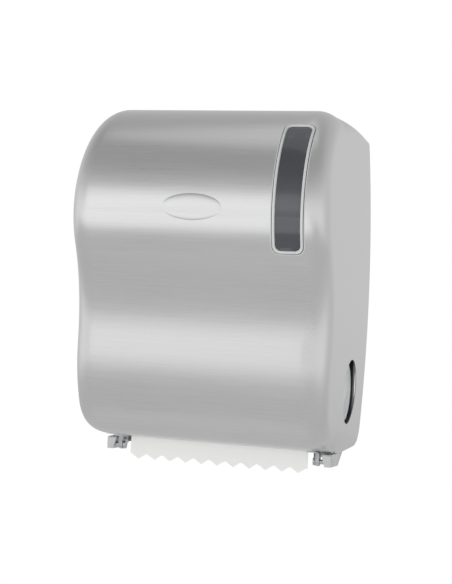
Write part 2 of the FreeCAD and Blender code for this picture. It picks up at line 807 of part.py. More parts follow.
def make_knife_cam():
    """Ring on the left frame, with a lobe that throws the knife out at the front."""
    low = -frame_inside
    high = low + cam_thickness
    ring = tube(low, high, drum_depth, drum_level, cam_inner_radius + cam_wall, cam_inner_radius)
    lobe_angle = math.radians(-55.0)
    reach = cam_inner_radius + cam_lobe_rise + 1.0
    lobe = rod(low, high, drum_depth + reach * math.cos(lobe_angle),
               drum_level + reach * math.sin(lobe_angle), 2 * cam_lobe_rise)
    disc = rod(low, high, drum_depth, drum_level, cam_inner_radius + cam_wall)
    return fused(ring, lobe.common(disc))


def make_return_crank():
    low = -(frame_outside + bush_flange + side_gap + crank_thickness)
    high = low + crank_thickness
    disc = rod(low, high, drum_depth, drum_level, crank_radius + 5.0)
    pin_depth, pin_level = crank_pin_place()
    pin = rod(low - 7.0, low, pin_depth, pin_level, crank_pin_radius)
    bore = rod(low - 1, high + 1, drum_depth, drum_level, journal_radius)
    return fused(disc, pin).cut(bore)


def crank_pin_place():
    """The crank pin rests on the line to the spring's anchor, where the spring is shortest."""
    angle = math.atan2(anchor_level - drum_level, anchor_depth - drum_depth)
    return (drum_depth + crank_radius * math.cos(angle), drum_level + crank_radius * math.sin(angle))


def make_return_spring():
    """Extension spring from the anchor post to the crank pin, as a tube with two end hooks."""
    pin_depth, pin_level = crank_pin_place()
    x = -(frame_outside + bush_flange + side_gap + crank_thickness + 4.0)
    start = at(x, pin_depth, pin_level)
    end = at(x, anchor_depth, anchor_level)
    line = end - start
    direction = Vector(line).normalize()
    clear = crank_pin_radius + spring_wire / 2 + running
    coil_start = start + direction * (clear + 2.0)
    coil_length = line.Length - 2 * (clear + 2.0)
    coil = Part.makeCylinder(spring_coil_radius, coil_length, coil_start, direction)
    coil = coil.cut(Part.makeCylinder(spring_coil_radius - spring_wire, coil_length, coil_start,
                                      direction))
    hooks = []
    for centre, way in ((start, 1.0), (end, -1.0)):
        hook = Part.makeTorus(clear, spring_wire / 2, centre, Vector(1, 0, 0))
        shank = Part.makeCylinder(spring_wire / 2, spring_coil_radius + 2.0,
                                  centre + direction * way * clear, direction * way)
        cap = Part.makeCylinder(spring_coil_radius, spring_wire,
                                centre + direction * way * (clear + 2.0), direction * way)
        hooks.append(fused(hook, shank, cap))
    return fused(coil, *hooks)


def make_spring_anchor():
    """Post on the left frame that holds the spring's fixed end."""
    low = -(frame_outside + bush_flange + side_gap + crank_thickness + 8.0)
    stem = rod(low, -frame_outside, anchor_depth, anchor_level, crank_pin_radius)
    base = rod(-frame_outside - 2.0, -frame_outside, anchor_depth, anchor_level,
               crank_pin_radius + 3.0)
    head = rod(low - 1.5, low, anchor_depth, anchor_level, crank_pin_radius + 1.5)
    return fused(stem, base, head)


def make_spring_housing():
    """Moulded cap over the crank and spring, against the left frame."""
    low_depth = anchor_depth - 16.0
    high_depth = drum_depth + 2 * crank_radius + 8.4
    low_z = drum_level - 2 * crank_radius - 3.0
    high_z = anchor_level + 9.0
    cap = block(-housing_outside, -frame_outside, low_depth, high_depth, low_z, high_z)
    cap = rounded(cap, housing_corner, Vector(1, 0, 0))
    face_edges = [edge for edge in cap.Edges if edge.BoundBox.XMax < -housing_outside + 0.01]
    cap = cap.makeFillet(3.0, face_edges)
    inside = block(-housing_outside + housing_wall, -frame_outside + 1, low_depth + housing_wall,
                   high_depth - housing_wall, low_z + housing_wall, high_z - housing_wall)
    inside = rounded(inside, housing_corner - housing_wall, Vector(1, 0, 0))
    return cap.cut(inside)


# ---------------------------------------------------------------- pressure roller

def make_pinch_shaft():
    half = frame_inside - side_gap
    return rod(-half, half, pinch_depth, pinch_level, pinch_shaft_radius)


def make_pinch_sleeves():
    """Three rubber sleeves on the roller's shaft."""
    gap = 2.0
    length = (2 * pinch_half_length - 2 * gap) / 3
    sleeves = []
    for number in range(3):
        low = -pinch_half_length + number * (length + gap)
        sleeves.append(tube(low, low + length, pinch_depth, pinch_level, pinch_radius,
                            pinch_shaft_radius))
    return Part.makeCompound(sleeves)


def make_pinch_arm():
    """Right arm: swings on the pivot rod and carries one end of the roller's shaft."""
    low = frame_inside - side_gap - pinch_arm_thickness
    high = frame_inside - side_gap
    half = pinch_arm_width / 2
    ends = [(pinch_depth, pinch_level), (pinch_pivot_depth, pinch_pivot_level)]
    reach = Vector(0, -(ends[1][0] - ends[0][0]), ends[1][1] - ends[0][1])
    normal = reach.cross(Vector(1, 0, 0)).normalize() * half
    start, end = at(low, *ends[0]), at(low, *ends[1])
    corners = [start + normal, end + normal, end - normal, start - normal]
    bar = Part.Face(Part.makePolygon(corners + corners[:1])).extrude(along_x(high - low))
    arm = fused(bar, rod(low, high, *ends[0], half), rod(low, high, *ends[1], half))
    arm = arm.cut(rod(low - 1, high + 1, *ends[0], pinch_shaft_radius + running))
    return arm.cut(rod(low - 1, high + 1, *ends[1], pinch_shaft_radius + running))


def make_pinch_pivot():
    return rod(-frame_outside, frame_outside, pinch_pivot_depth, pinch_pivot_level,
               pinch_shaft_radius)


def make_pinch_springs():
    """Torsion springs on the pivot rod, one inside each arm."""
    high = frame_inside - side_gap - pinch_arm_thickness - 1.0
    coil = tube(high - pinch_spring_length, high, pinch_pivot_depth, pinch_pivot_level,
                pinch_spring_radius, pinch_spring_radius - 1.2)
    leg = block(high - 1.2, high, plate_thickness, pinch_pivot_depth - 1.0,
                pinch_pivot_level + pinch_spring_radius - 1.2, pinch_pivot_level + pinch_spring_radius)
    return both_sides(fused(coil, leg))


# ---------------------------------------------------------------- towel roll and arms

def arm_profile():
    half = arm_width / 2
    return [(plate_thickness, roll_level - half - 20), (plate_thickness + 20, roll_level - half - 8),
            (roll_depth, roll_level - half), (roll_depth, roll_level + half),
            (plate_thickness + 20, roll_level + half + 8), (plate_thickness, roll_level + half + 20)]


def make_roll_arm(rear):
    """Right arm as a ribbed plate with a round end. Its rear starts at one depth."""
    low = arm_inside
    high = low + arm_thickness
    half = arm_width / 2
    plate = side_plate(arm_profile(), low, high)
    end = rod(low, high, roll_depth, roll_level, half)
    ribs = []
    for side in (-1, 1):
        ribs.append(side_plate([(plate_thickness + 20, roll_level + side * (half + 8)),
                                (roll_depth, roll_level + side * half),
                                (roll_depth, roll_level + side * (half - 3.0)),
                                (plate_thickness + 20, roll_level + side * (half + 5.0))],
                               high, high + arm_rib))
    arm = fused(plate, end, *ribs)
    return arm.cut(block(0, outside_reach, -5, rear, 0, 2 * roll_level))


def make_left_roll_arm():
    """Fixed arm, with a foot against the back plate."""
    arm = make_roll_arm(plate_thickness)
    high = arm_inside + arm_thickness
    foot = block(high, high + 12.0, plate_thickness, plate_thickness + 3.0,
                 roll_level - 30.0, roll_level + 30.0)
    return mirrored(fused(arm, foot))


def make_right_roll_arm():
    """Sprung arm: swings out on a knuckle to take a new roll."""
    arm = make_roll_arm(arm_pivot_depth)
    half = arm_knuckle_height / 2
    knuckle = post(arm_pivot_x, arm_pivot_depth, roll_level - half, roll_level + half,
                   arm_knuckle_radius)
    clear = block(0, outside_reach, 0, arm_pivot_depth + arm_knuckle_radius + 2.0,
                  roll_level + half, roll_level + 60.0)
    clear_low = block(0, outside_reach, 0, arm_pivot_depth + arm_knuckle_radius + 2.0,
                      roll_level - 60.0, roll_level - half)
    arm = fused(arm.cut(clear).cut(clear_low), knuckle)
    return arm.cut(post(arm_pivot_x, arm_pivot_depth, roll_level - half - 1, roll_level + half + 1,
                        arm_pivot_radius + running))


def make_arm_bracket():
    """Clevis on the back plate for the right arm's knuckle."""
    half = arm_knuckle_height / 2 + side_gap
    back = block(arm_pivot_x - 8.0, arm_pivot_x + 8.0, plate_thickness, plate_thickness + 2.5,
                 roll_level - half - 12.0, roll_level + half + 12.0)
    ears = []
    for z_low in (roll_level - half - 3.0, roll_level + half):
        ear = block(arm_pivot_x - 6.0, arm_pivot_x + 6.0, plate_thickness, arm_pivot_depth,
                    z_low, z_low + 3.0)
        ears.append(fused(ear, post(arm_pivot_x, arm_pivot_depth, z_low, z_low + 3.0, 6.0)))
    bracket = fused(back, *ears)
    return bracket.cut(post(arm_pivot_x, arm_pivot_depth, roll_level - half - 5,
                            roll_level + half + 5, arm_pivot_radius))


def make_arm_pin():
    half = arm_knuckle_height / 2 + side_gap + 3.0
    shank = post(arm_pivot_x, arm_pivot_depth, roll_level - half, roll_level + half, arm_pivot_radius)
    head = post(arm_pivot_x, arm_pivot_depth, roll_level + half, roll_level + half + 2.0,
                arm_pivot_radius + 1.6)
    return fused(shank, head)


def make_roll_spigot():
    """Right spigot: a tapered plug that the towel roll's core turns on."""
    base = arm_inside
    tip = base - spigot_flange - spigot_length
    flange = rod(base - spigot_flange, base, roll_depth, roll_level,
                 spigot_radius + spigot_shoulder)
    cone = Part.makeCone(spigot_tip_radius, spigot_radius, spigot_length,
                         at(tip, roll_depth, roll_level), Vector(1, 0, 0))
    hollow = rod(tip - 1, base - 4.0, roll_depth, roll_level, spigot_tip_radius - 2.5)
    return fused(flange, cone).cut(hollow)


def make_roll_core():
    half = towel_width / 2
    return tube(-half, half, roll_depth, roll_level, core_radius, core_bore_radius)


def make_towel_roll():
    half = towel_width / 2
    return tube(-half, half, roll_depth, roll_level, roll_radius, core_radius)


def make_towel_web():
    """The towel between the roll and its torn edge, as one bent strip."""
    half = towel_width / 2
    roll_wrap = roll_radius + web_gap
    span_depth = pinch_depth - roll_depth
    span_level = pinch_level - roll_level
    span = math.hypot(span_depth, span_level)
    lean = math.atan2(span_level, span_depth)
    # The straight part touches both rollers on their rear side.
    normal = lean - math.acos((roll_wrap - web_pinch_radius) / span)
    start = (roll_depth + roll_wrap * math.cos(normal), roll_level + roll_wrap * math.sin(normal))
    heading = math.degrees(normal) + 90.0
    length = math.sqrt(span * span - (roll_wrap - web_pinch_radius) ** 2)
    nip_heading = pinch_direction - 90.0
    faces = []
    for side in (-1.0, 1.0):
        shift = side * web_thickness / 2
        outline = Outline(start[0] + shift * math.cos(normal), start[1] + shift * math.sin(normal),
                          heading)
        outline.line(length)
        outline.arc(web_pinch_radius + shift, (nip_heading - heading) % 360.0)
        outline.arc(web_drum_radius - shift, -(nip_heading + 90.0))
        outline.line(drum_level - tail_end)
        faces.append(outline)
    inner, outer = faces
    cap_start = Part.LineSegment(inner.edges[0].valueAt(inner.edges[0].FirstParameter),
                                 outer.edges[0].valueAt(outer.edges[0].FirstParameter)).toShape()
    cap_end = Part.LineSegment(at(0, outer.depth, outer.z), at(0, inner.depth, inner.z)).toShape()
    wire = Part.Wire(Part.__sortEdges__(inner.edges + outer.edges + [cap_start, cap_end]))
    strip = Part.Face(wire)
    strip.translate(along_x(-half))
    strip = strip.extrude(along_x(2 * half))
    return strip.cut(torn_edge(half))


def torn_edge(half):
    """Teeth that the knife leaves along the towel's end, as one cutting tool."""
    count = int(2 * half // tooth_pitch) + 1
    start = -count * tooth_pitch / 2
    depth = drum_depth + web_drum_radius
    points = [at(start - tooth_pitch, depth - 2, tail_end - 5)]
    for number in range(count + 1):
        x = start + number * tooth_pitch
        points.append(at(x - tooth_pitch / 2, depth - 2, tail_end + tail_tooth))
        points.append(at(x, depth - 2, tail_end))
    points.append(at(start + (count + 1) * tooth_pitch, depth - 2, tail_end - 5))
    face = Part.Face(Part.makePolygon(points + points[:1]))
    return face.extrude(at(0, 4, 0))


def make_paper_chute():
    """Guide behind the hanging towel, between the side frames."""
    rear = drum_depth + web_drum_radius - 12.0
    points = [(rear, 2.0), (rear + 2.0, 2.0), (rear + 2.0, 20.0), (rear - 6.0, 30.0),
              (rear - 8.0, 29.0), (rear, 19.0)]
    guide = side_plate(points, -frame_inside, frame_inside)
    rail = block(-frame_inside, frame_inside, rear - 14.0, rear, 2.0, 4.0)
    return fused(guide, rail)


# ---------------------------------------------------------------- build and export

def build():
    right_lug = make_hinge_lug()
    right_pin = make_hinge_pin()
    right_ear = make_cover_ear()
    right_frame = make_side_frame()
    right_bush = make_bush()
    right_arm = make_pinch_arm()
    right_spigot = make_roll_spigot()
    nodes = {
        "back_plate": make_back_plate(),
        "right_side_frame": right_frame,
        "left_side_frame": mirrored(right_frame),
        "right_hinge_lug": right_lug,
        "left_hinge_lug": mirrored(right_lug),
        "right_hinge_pin": right_pin,
        "left_hinge_pin": mirrored(right_pin),
        "frame_screws": make_frame_screws(),
        "lock_catch": make_lock_catch(),
        "paper_chute": make_paper_chute(),
        "right_drum_bush": right_bush,
        "left_drum_bush": mirrored(right_bush),
        "knife_cam": make_knife_cam(),
        "spring_anchor": make_spring_anchor(),
        "return_spring": make_return_spring(),
        "spring_housing": make_spring_housing(),
        "pinch_pivot_rod": make_pinch_pivot(),
        "pinch_springs": make_pinch_springs(),
        "left_roll_arm": make_left_roll_arm(),
        "left_roll_spigot": mirrored(right_spigot),
        "arm_bracket": make_arm_bracket(),
        "arm_pin": make_arm_pin(),
        "towel_web": make_towel_web(),
        "cover_shell": make_cover_shell(),
        "window_bezel": make_window_bezel(),
        "window_lens": make_window_lens(),
        "badge_plate": make_badge(),
        "right_cover_ear": right_ear,
        "left_cover_ear": mirrored(right_ear),
        "lock_barrel": make_lock_barrel(),
        "lock_plug": make_lock_plug(),
        "lock_tongue": make_lock_tongue(),
        "drum_shell": make_drum_shell(),
        "right_drum_end": make_drum_end(),
        "left_drum_end": make_drum_end_left(),
        "drum_grip_rings": make_grip_rings(),
        "feed_wheel": make_feed_wheel(),
        "return_crank": make_return_crank(),
        "knife_carrier": make_knife_carrier(),
        "knife_blade": make_knife_blade(),
        "cam_follower": make_cam_follower(),
        "right_pinch_arm": right_arm,
        "left_pinch_arm": mirrored(right_arm),
        "pinch_shaft": make_pinch_shaft(),
        "pinch_sleeves": make_pinch_sleeves(),
        "right_roll_arm": make_right_roll_arm(),
        "right_roll_spigot": right_spigot,
        "roll_core": make_roll_core(),
        "towel_roll": make_towel_roll(),
    }
    return nodes


os.makedirs("parts", exist_ok=True)
for name, shape in build().items():
    shape.exportStep(os.path.join("parts", name + ".step"))
    box = shape.BoundBox
    print(f"{name:18s} solids {len(shape.Solids)} valid {shape.isValid()} volume {shape.Volume:9.0f} "
          f"x {box.XMin:.1f}..{box.XMax:.1f} depth {-box.YMax:.1f}..{-box.YMin:.1f} "
          f"z {box.ZMin:.1f}..{box.ZMax:.1f}")
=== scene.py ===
# %% [markdown]
# # A hands-free towel dispenser in satin stainless steel
#
# This notebook dresses the CAD model of a wall-mounted roll towel dispenser. The CAD model brings
# every part that moves or carries load. Here its steel cover is remade as one smooth skin of sheet,
# the window, badge, towel and hand wheel are made in code, and every surface gets a procedural
# material.
# All lengths below are in millimetres and are turned into Blender's metres in one place.

# %% Load the frame
import bpy
import bmesh
import json
import math
import random
from mathutils import Matrix, Vector
from mathutils.geometry import delaunay_2d_cdt

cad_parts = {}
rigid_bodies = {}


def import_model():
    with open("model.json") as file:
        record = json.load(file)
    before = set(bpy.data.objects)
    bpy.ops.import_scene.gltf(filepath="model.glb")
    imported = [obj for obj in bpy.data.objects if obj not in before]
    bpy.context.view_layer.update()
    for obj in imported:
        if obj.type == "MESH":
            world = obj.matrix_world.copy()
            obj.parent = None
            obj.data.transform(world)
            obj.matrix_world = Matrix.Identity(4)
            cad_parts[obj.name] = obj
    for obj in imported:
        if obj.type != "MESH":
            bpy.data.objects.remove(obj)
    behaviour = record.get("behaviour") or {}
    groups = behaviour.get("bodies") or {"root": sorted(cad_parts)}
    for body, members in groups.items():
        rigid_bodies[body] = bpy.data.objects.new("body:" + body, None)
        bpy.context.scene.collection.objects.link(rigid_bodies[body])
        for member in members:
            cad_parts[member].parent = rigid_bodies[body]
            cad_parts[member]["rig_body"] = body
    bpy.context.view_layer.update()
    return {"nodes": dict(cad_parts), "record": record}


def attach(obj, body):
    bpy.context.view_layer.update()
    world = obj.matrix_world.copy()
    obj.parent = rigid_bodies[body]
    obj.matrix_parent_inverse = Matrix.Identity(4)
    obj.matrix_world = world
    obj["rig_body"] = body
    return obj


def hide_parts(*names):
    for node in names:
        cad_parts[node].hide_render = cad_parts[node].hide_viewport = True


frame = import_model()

MM = 0.001

# %% [markdown]
# ## Shader maths as Python
#
# A node tree is easier to read as arithmetic. A small class wraps a socket, and its operators add
# the Math nodes. Colours and vectors need other nodes than numbers do, because a Math node turns a
# colour grey, so those go through Mix and Vector Math. Any other node comes from one method.

# %% A socket that does arithmetic
class Wire:
    def __init__(self, tree, socket):
        self.tree = tree
        self.socket = socket

    def node(self, kind, settings=(), output=0, **inputs):
        return add_node(self.tree, kind, settings, output, **inputs)

    def math(self, operation, *values):
        return self.node("ShaderNodeMath", {"operation": operation}, 0,
                         **{f"in{number}": value for number, value in enumerate(values)})

    def __add__(self, other):
        return self.math("ADD", self, other)

    def __radd__(self, other):
        return self.math("ADD", other, self)

    def __sub__(self, other):
        return self.math("SUBTRACT", self, other)

    def __rsub__(self, other):
        return self.math("SUBTRACT", other, self)

    def __mul__(self, other):
        return self.math("MULTIPLY", self, other)

    def __rmul__(self, other):
        return self.math("MULTIPLY", other, self)

    def __pow__(self, other):
        return self.math("POWER", self, other)

    def __rpow__(self, other):
        return self.math("POWER", other, self)

    def band(self, low, high):
        """0 below low, 1 above high, and smooth between."""
        return self.node("ShaderNodeMapRange", {"interpolation_type": "SMOOTHSTEP"}, 0,
                         in0=self, in1=low, in2=high, in3=0.0, in4=1.0)

    def part(self, axis):
        """One component of a vector."""
        return self.node("ShaderNodeSeparateXYZ", {}, "XYZ".index(axis), in0=self)

    def stretched(self, x, y, z):
        """A vector with each component scaled."""
        return self.node("ShaderNodeVectorMath", {"operation": "MULTIPLY"}, 0, in0=self, in1=(x, y, z))

    def noise(self, scale, detail=2.0, roughness=0.5):
        return self.node("ShaderNodeTexNoise", {}, 0, Vector=self, Scale=scale, Detail=detail,
                         Roughness=roughness)

    def blend(self, first, second):
        """The first colour where the mask is 0 and the second where it is 1."""
        return self.node("ShaderNodeMix", {"data_type": "RGBA"}, 2, in0=self, in6=first, in7=second)


def empty_tree(owner):
    """The node tree of a material or a world, with nothing in it yet."""
    owner.use_nodes = True
    owner.node_tree.nodes.clear()
    return owner.node_tree


def set_stops(bar, stops):
    """Sets a ramp's stops from (place, brightness) pairs."""
    bar.interpolation = "EASE"
    for number, (place, level) in enumerate(stops):
        stop = bar.elements[number] if number < 2 else bar.elements.new(place)
        stop.position = place
        stop.color = (level, level, level, 1.0)


def add_node(tree, kind, settings=(), output=0, **inputs):
    """Adds any node: its settings first, then the values or links of its sockets, which are given
    by name or, as in0 and so on, by number."""
    made = tree.nodes.new(kind)
    for name, value in dict(settings).items():
        if name == "stops":
            set_stops(made.color_ramp, value)
        else:
            setattr(made, name, value)
    for name, value in inputs.items():
        socket = made.inputs[int(name[2:]) if name[:2] == "in" and name[2:].isdigit()
                             else name.replace("_", " ")]
        if isinstance(value, Wire):
            tree.links.new(value.socket, socket)
        elif isinstance(value, tuple) and socket.type == "RGBA" and len(value) == 3:
            socket.default_value = (*value, 1.0)
        else:
            socket.default_value = value
    return Wire(tree, made.outputs[output]) if made.outputs else None


# %% [markdown]
# A finish is one Principled shader. What varies over the surface comes from a recipe, which gets the
# object's own coordinates, so that a pattern keeps its real size on every part. What is constant
# goes straight onto the shader's sockets, where it is easiest to find and change.

# %% A finish
def finish_named(name, recipe, **fixed):
    """A material from a recipe, which returns the sockets that vary, and from fixed values."""
    material = bpy.data.materials.new(name)
    tree = empty_tree(material)
    place = add_node(tree, "ShaderNodeTexCoord", {}, 3)
    shader = add_node(tree, "ShaderNodeBsdfPrincipled", {}, 0, **fixed, **recipe(place))
    add_node(tree, "ShaderNodeOutputMaterial", {}, 0, Surface=shader)
    return material


def bumped(place, height, strength, distance=0.0002):
    return place.node("ShaderNodeBump", {}, 0, Height=height, Strength=strength, Distance=distance)


# %% [markdown]
# ## The cover's form
#
# The real cover is one sheet of steel, bent round a side profile of arcs and welded at its corners.
# Its sizes are those of the CAD model. Two things differ from that model: the bottom, which is flat
# there, rises a little towards the heel, and the top's corners tighten sooner near the wall.

# %% Sizes of the cover
HALF_WIDTH = 135.7
WIDEST_LEVEL = 149.0
SIDE_BOW = 2334.0
TOE_RADIUS = 22.0
LIP_DEPTH = 119.5
HEEL_DEPTH = 153.5
HEEL_RADIUS, HEEL_SWEEP = 61.0, 73.5
LOWER_RADIUS, LOWER_SWEEP = 170.0, 19.5
LOWER_STRAIGHT = 16.6
WAIST_RADIUS, WAIST_SWEEP = 155.0, 32.0
ROLL_BULGE_RADIUS = 105.0
CORNER = 27.0
WALL_CORNER = 6.0
TOP_FALL = 4.2
LIFT_START = 96.8
LIFT_LENGTH = 68.0
LIFT_SLOPE = math.tan(math.radians(7.0))
LIFT_FADE = 44.0
CREASE_LOW = 3.9
CREASE_RISE = 0.1708
SKIRT_LEAN = math.tan(math.radians(6.5))
SHEET = 1.0
BOTTOM_ZONE, WAIST_LEVEL, TOP_ZONE = 30.0, 150.0, 300.0


def at(x, depth, z):
    """A point in Blender's metres from its place along the wall, its depth and its height."""
    return Vector((x * MM, -depth * MM, z * MM))


def smooth(low, high, value):
    share = min(1.0, max(0.0, (value - low) / (high - low)))
    return share * share * (3.0 - 2.0 * share)


def mix(first, second, share):
    return first + (second - first) * share


def side_half_width(z):
    return HALF_WIDTH - SIDE_BOW + math.sqrt(SIDE_BOW ** 2 - (z - WIDEST_LEVEL) ** 2)


def heel_lift(depth, z):
    """How far the bottom rises towards the heel. It fades out up the front and down the hinges."""
    reach = min(max(depth - LIFT_START, 0.0), LIFT_LENGTH)
    return LIFT_SLOPE * reach * max(0.0, 1.0 - max(z, 0.0) / LIFT_FADE) ** 2 * smooth(-9.0, -2.5, z)


def settled(point):
    """A point of the flat-bottomed form, moved to where the risen bottom has it."""
    x, depth, z = point.x / MM, -point.y / MM, point.z / MM
    return at(x, depth, z + heel_lift(depth, z))


def crease_level(depth):
    """Height of the soft crease where the side wall starts to lean inwards."""
    return CREASE_LOW + CREASE_RISE * depth


print(f"cover: {2.0 * HALF_WIDTH:.1f} mm wide, and {LIFT_SLOPE * LIFT_LENGTH:.1f} mm higher at the heel")

# %% [markdown]
# The profile is walked like a route, as the CAD model draws it: so far ahead, then so many degrees
# round a radius. Every point is worked out exactly, so the skin is smoother than an imported mesh,
# and the heading at each stop gives the outward normal there.

# %% Walk the cover's profile
class Walk:
    """Walks the side profile from the lip to the wall and notes points on the way."""

    def __init__(self, depth, z, heading):
        self.depth, self.z, self.heading = depth, z, math.radians(heading)
        self.stops = [(depth, z, self.heading)]

    def line(self, length, step=7.0):
        count = max(1, round(length / step))
        for number in range(count):
            self.depth += length / count * math.cos(self.heading)
            self.z += length / count * math.sin(self.heading)
            self.stops.append((self.depth, self.z, self.heading))

    def arc(self, radius, sweep, step=3.6):
        side, turn = math.copysign(1.0, sweep), math.radians(sweep)
        count = max(2, round(radius * abs(turn) / step))
        centre_depth = self.depth - side * radius * math.sin(self.heading)
        centre_z = self.z + side * radius * math.cos(self.heading)
        for number in range(1, count + 1):
            heading = self.heading + turn * number / count
            self.stops.append((centre_depth + side * radius * math.sin(heading),
                               centre_z - side * radius * math.cos(heading), heading))
        self.depth, self.z, self.heading = self.stops[-1]


walk = Walk(LIP_DEPTH, 0.0, 0.0)
walk.line(HEEL_DEPTH - LIP_DEPTH, 3.4)
walk.arc(HEEL_RADIUS, HEEL_SWEEP, 3.0)
walk.arc(LOWER_RADIUS, LOWER_SWEEP)
walk.line(LOWER_STRAIGHT)
walk.arc(WAIST_RADIUS, -WAIST_SWEEP)
walk.arc(ROLL_BULGE_RADIUS, 180.0 + TOP_FALL - (HEEL_SWEEP + LOWER_SWEEP - WAIST_SWEEP))
top_front = walk.depth
walk.line(walk.depth / math.cos(math.radians(TOP_FALL)))
profile = walk.stops
run = [0.0]
for before, after in zip(profile, profile[1:]):
    run.append(run[-1] + math.hypot(after[0] - before[0], after[1] - before[1]))
print(f"profile: {len(profile)} stops over {run[-1]:.1f} mm, top {max(stop[1] for stop in profile):.1f} mm")

# %% [markdown]
# Between two stops the profile is taken as the arc that both headings ask for, so a place anywhere
# along it is exact. The corner beside it is a quarter turn from the front to the side wall, whose
# radius shrinks to the crease at the bottom and to a tight bend where the top meets the wall.

# %% A stop on the profile at any run
def stop_at(length):
    """Depth, height, outward normal (depth, z) and corner radius at one length along the profile."""
    length = min(max(length, 0.0), run[-1] - 1e-9)
    number = max(index for index, reach in enumerate(run) if reach <= length)
    share = (length - run[number]) / (run[number + 1] - run[number])
    first, last = profile[number], profile[number + 1]
    turn = last[2] - first[2]
    heading = first[2] + turn * share
    chord = math.hypot(last[0] - first[0], last[1] - first[1])
    bulge = chord * turn / 8.0 * 4.0 * share * (1.0 - share)
    normal = (math.sin(heading), -math.cos(heading))
    depth = mix(first[0], last[0], share) + normal[0] * bulge
    z = mix(first[1], last[1], share) + normal[1] * bulge
    if z < BOTTOM_ZONE and depth < HEEL_DEPTH:
        radius = min(CORNER, crease_level(depth))
    elif z > TOP_ZONE and depth < top_front:
        radius = mix(WALL_CORNER, CORNER, (depth / top_front) ** 3)
    else:
        radius = CORNER
    return depth, z, normal, radius


FLAT = 104.0
ROUND = 42.0


def unlifted_point(length, across):
    """A point of the cover's outside. Up to FLAT, across runs over the front; beyond it, the next
    ROUND millimetres go round the corner to the side wall."""
    depth, z, normal, radius = stop_at(length)
    side = math.copysign(1.0, across)
    half = side_half_width(z - radius * normal[1])
    reach = min(abs(across) / FLAT, 1.0)
    if abs(across) <= FLAT:
        return at(side * reach * (half - radius), depth, z)
    share = (abs(across) - FLAT) / ROUND
    turn = share * math.pi / 2.0
    x, inset = half - radius + radius * math.sin(turn), radius * (1.0 - math.cos(turn))
    square = 1.0 - smooth(LIP_DEPTH, HEEL_DEPTH, depth) if z < BOTTOM_ZONE else 0.0
    if square > 0.0:
        foot = side_half_width(0.0) - SKIRT_LEAN * radius
        level, upright = foot - (half - radius), math.hypot(radius, half - foot)
        travel = share * (level + upright)
        flat_inset = max(0.0, (travel - level) / upright * radius)
        flat_x = min(half - radius + travel,
                     side_half_width(flat_inset) - SKIRT_LEAN * (radius - flat_inset))
        x, inset = mix(x, flat_x, square), mix(inset, flat_inset, square)
    return at(side * x, depth - inset * normal[0], z - inset * normal[1])


def skin_point(length, across):
    """The same point with the bottom's rise in it."""
    return settled(unlifted_point(length, across))


def across_of(length, x):
    """The across value that gives one place along X, for laying out the window."""
    depth, z, normal, radius = stop_at(length)
    half = side_half_width(z - radius * normal[1])
    if abs(x) <= half - radius:
        return x / (half - radius) * FLAT
    return FLAT + math.asin((x - half + radius) / radius) / (math.pi / 2.0) * ROUND


def run_of(level):
    """Length along the profile at which the front, above the waist, reaches one level."""
    low, high = next(reach for reach, stop in zip(run, profile) if stop[1] > WAIST_LEVEL), run[-1]
    for _ in range(40):
        middle = (low + high) / 2.0
        depth, z, normal, _ = stop_at(middle)
        if z < level and not normal[1] > 0.9:
            low = middle
        else:
            high = middle
    return low


# %% [markdown]
# ## One skin from flat patches
#
# The front is laid out flat, as a sheet-metal worker would: one axis runs along the profile and the
# other across it. The window is a hole in that flat pattern. A constrained Delaunay triangulation
# fills the pattern with an even grid and respects the hole's edge, and then every point is bent
# into place. The side walls are made the same way, the right one with a hole for the hand wheel. A
# boolean cut would also work, but it leaves long thin faces that shade badly on a satin surface.

# %% Fill a flat pattern
def inside(point, loop):
    """Whether a point lies inside a closed loop, by counting the edges to its right."""
    x, y = point
    found = False
    for (ax, ay), (bx, by) in zip(loop, loop[1:] + loop[:1]):
        if (ay > y) != (by > y) and x < ax + (y - ay) / (by - ay) * (bx - ax):
            found = not found
    return found


def near(point, loop, gap):
    """Whether a point lies closer to a closed loop than a gap."""
    for (ax, ay), (bx, by) in zip(loop, loop[1:] + loop[:1]):
        length = (bx - ax) ** 2 + (by - ay) ** 2
        share = max(0.0, min(1.0, ((point[0] - ax) * (bx - ax) + (point[1] - ay) * (by - ay)) / length))
        if math.hypot(point[0] - ax - share * (bx - ax), point[1] - ay - share * (by - ay)) < gap:
            return True
    return False


def fill(outline, holes, grid, gap=1.2, seams=()):
    """Triangles over a flat pattern, as (points, triples)."""
    points = [Vector(place) for place in outline]
    edges = [(number, (number + 1) % len(outline)) for number in range(len(outline))]
    for loop in [*holes, *seams]:
        first = len(points)
        points += [Vector(place) for place in loop]
        closed = loop in holes
        edges += [(first + number, first + (number + 1) % len(loop))
                  for number in range(len(loop) if closed else len(loop) - 1)]
    for place in grid:
        keep = inside(place, outline) and not near(place, outline, gap)
        for loop in holes:
            keep = keep and not inside(place, loop) and not near(place, loop, gap)
        if keep:
            points.append(Vector(place))
    made, _, faces, *_ = delaunay_2d_cdt(points, edges, [], 0, 1e-7)
    kept = []
    for face in faces:
        middle = sum((made[corner] for corner in face), Vector((0.0, 0.0))) / len(face)
        if inside(middle, outline) and not any(inside(middle, loop) for loop in holes):
            kept.append(tuple(face))
    return [tuple(point) for point in made], kept


def rounded_loop(low_x, high_x, low_y, high_y, radius, steps=8):
    """Corner points of a rounded rectangle, counter-clockwise."""
    loop = []
    for x, y, start in ((high_x - radius, low_y + radius, -90), (high_x - radius, high_y - radius, 0),
                        (low_x + radius, high_y - radius, 90), (low_x + radius, low_y + radius, 180)):
        for number in range(steps + 1):
            turn = math.radians(start + 90.0 * number / steps)
            loop.append((x + radius * math.cos(turn), y + radius * math.sin(turn)))
    return loop


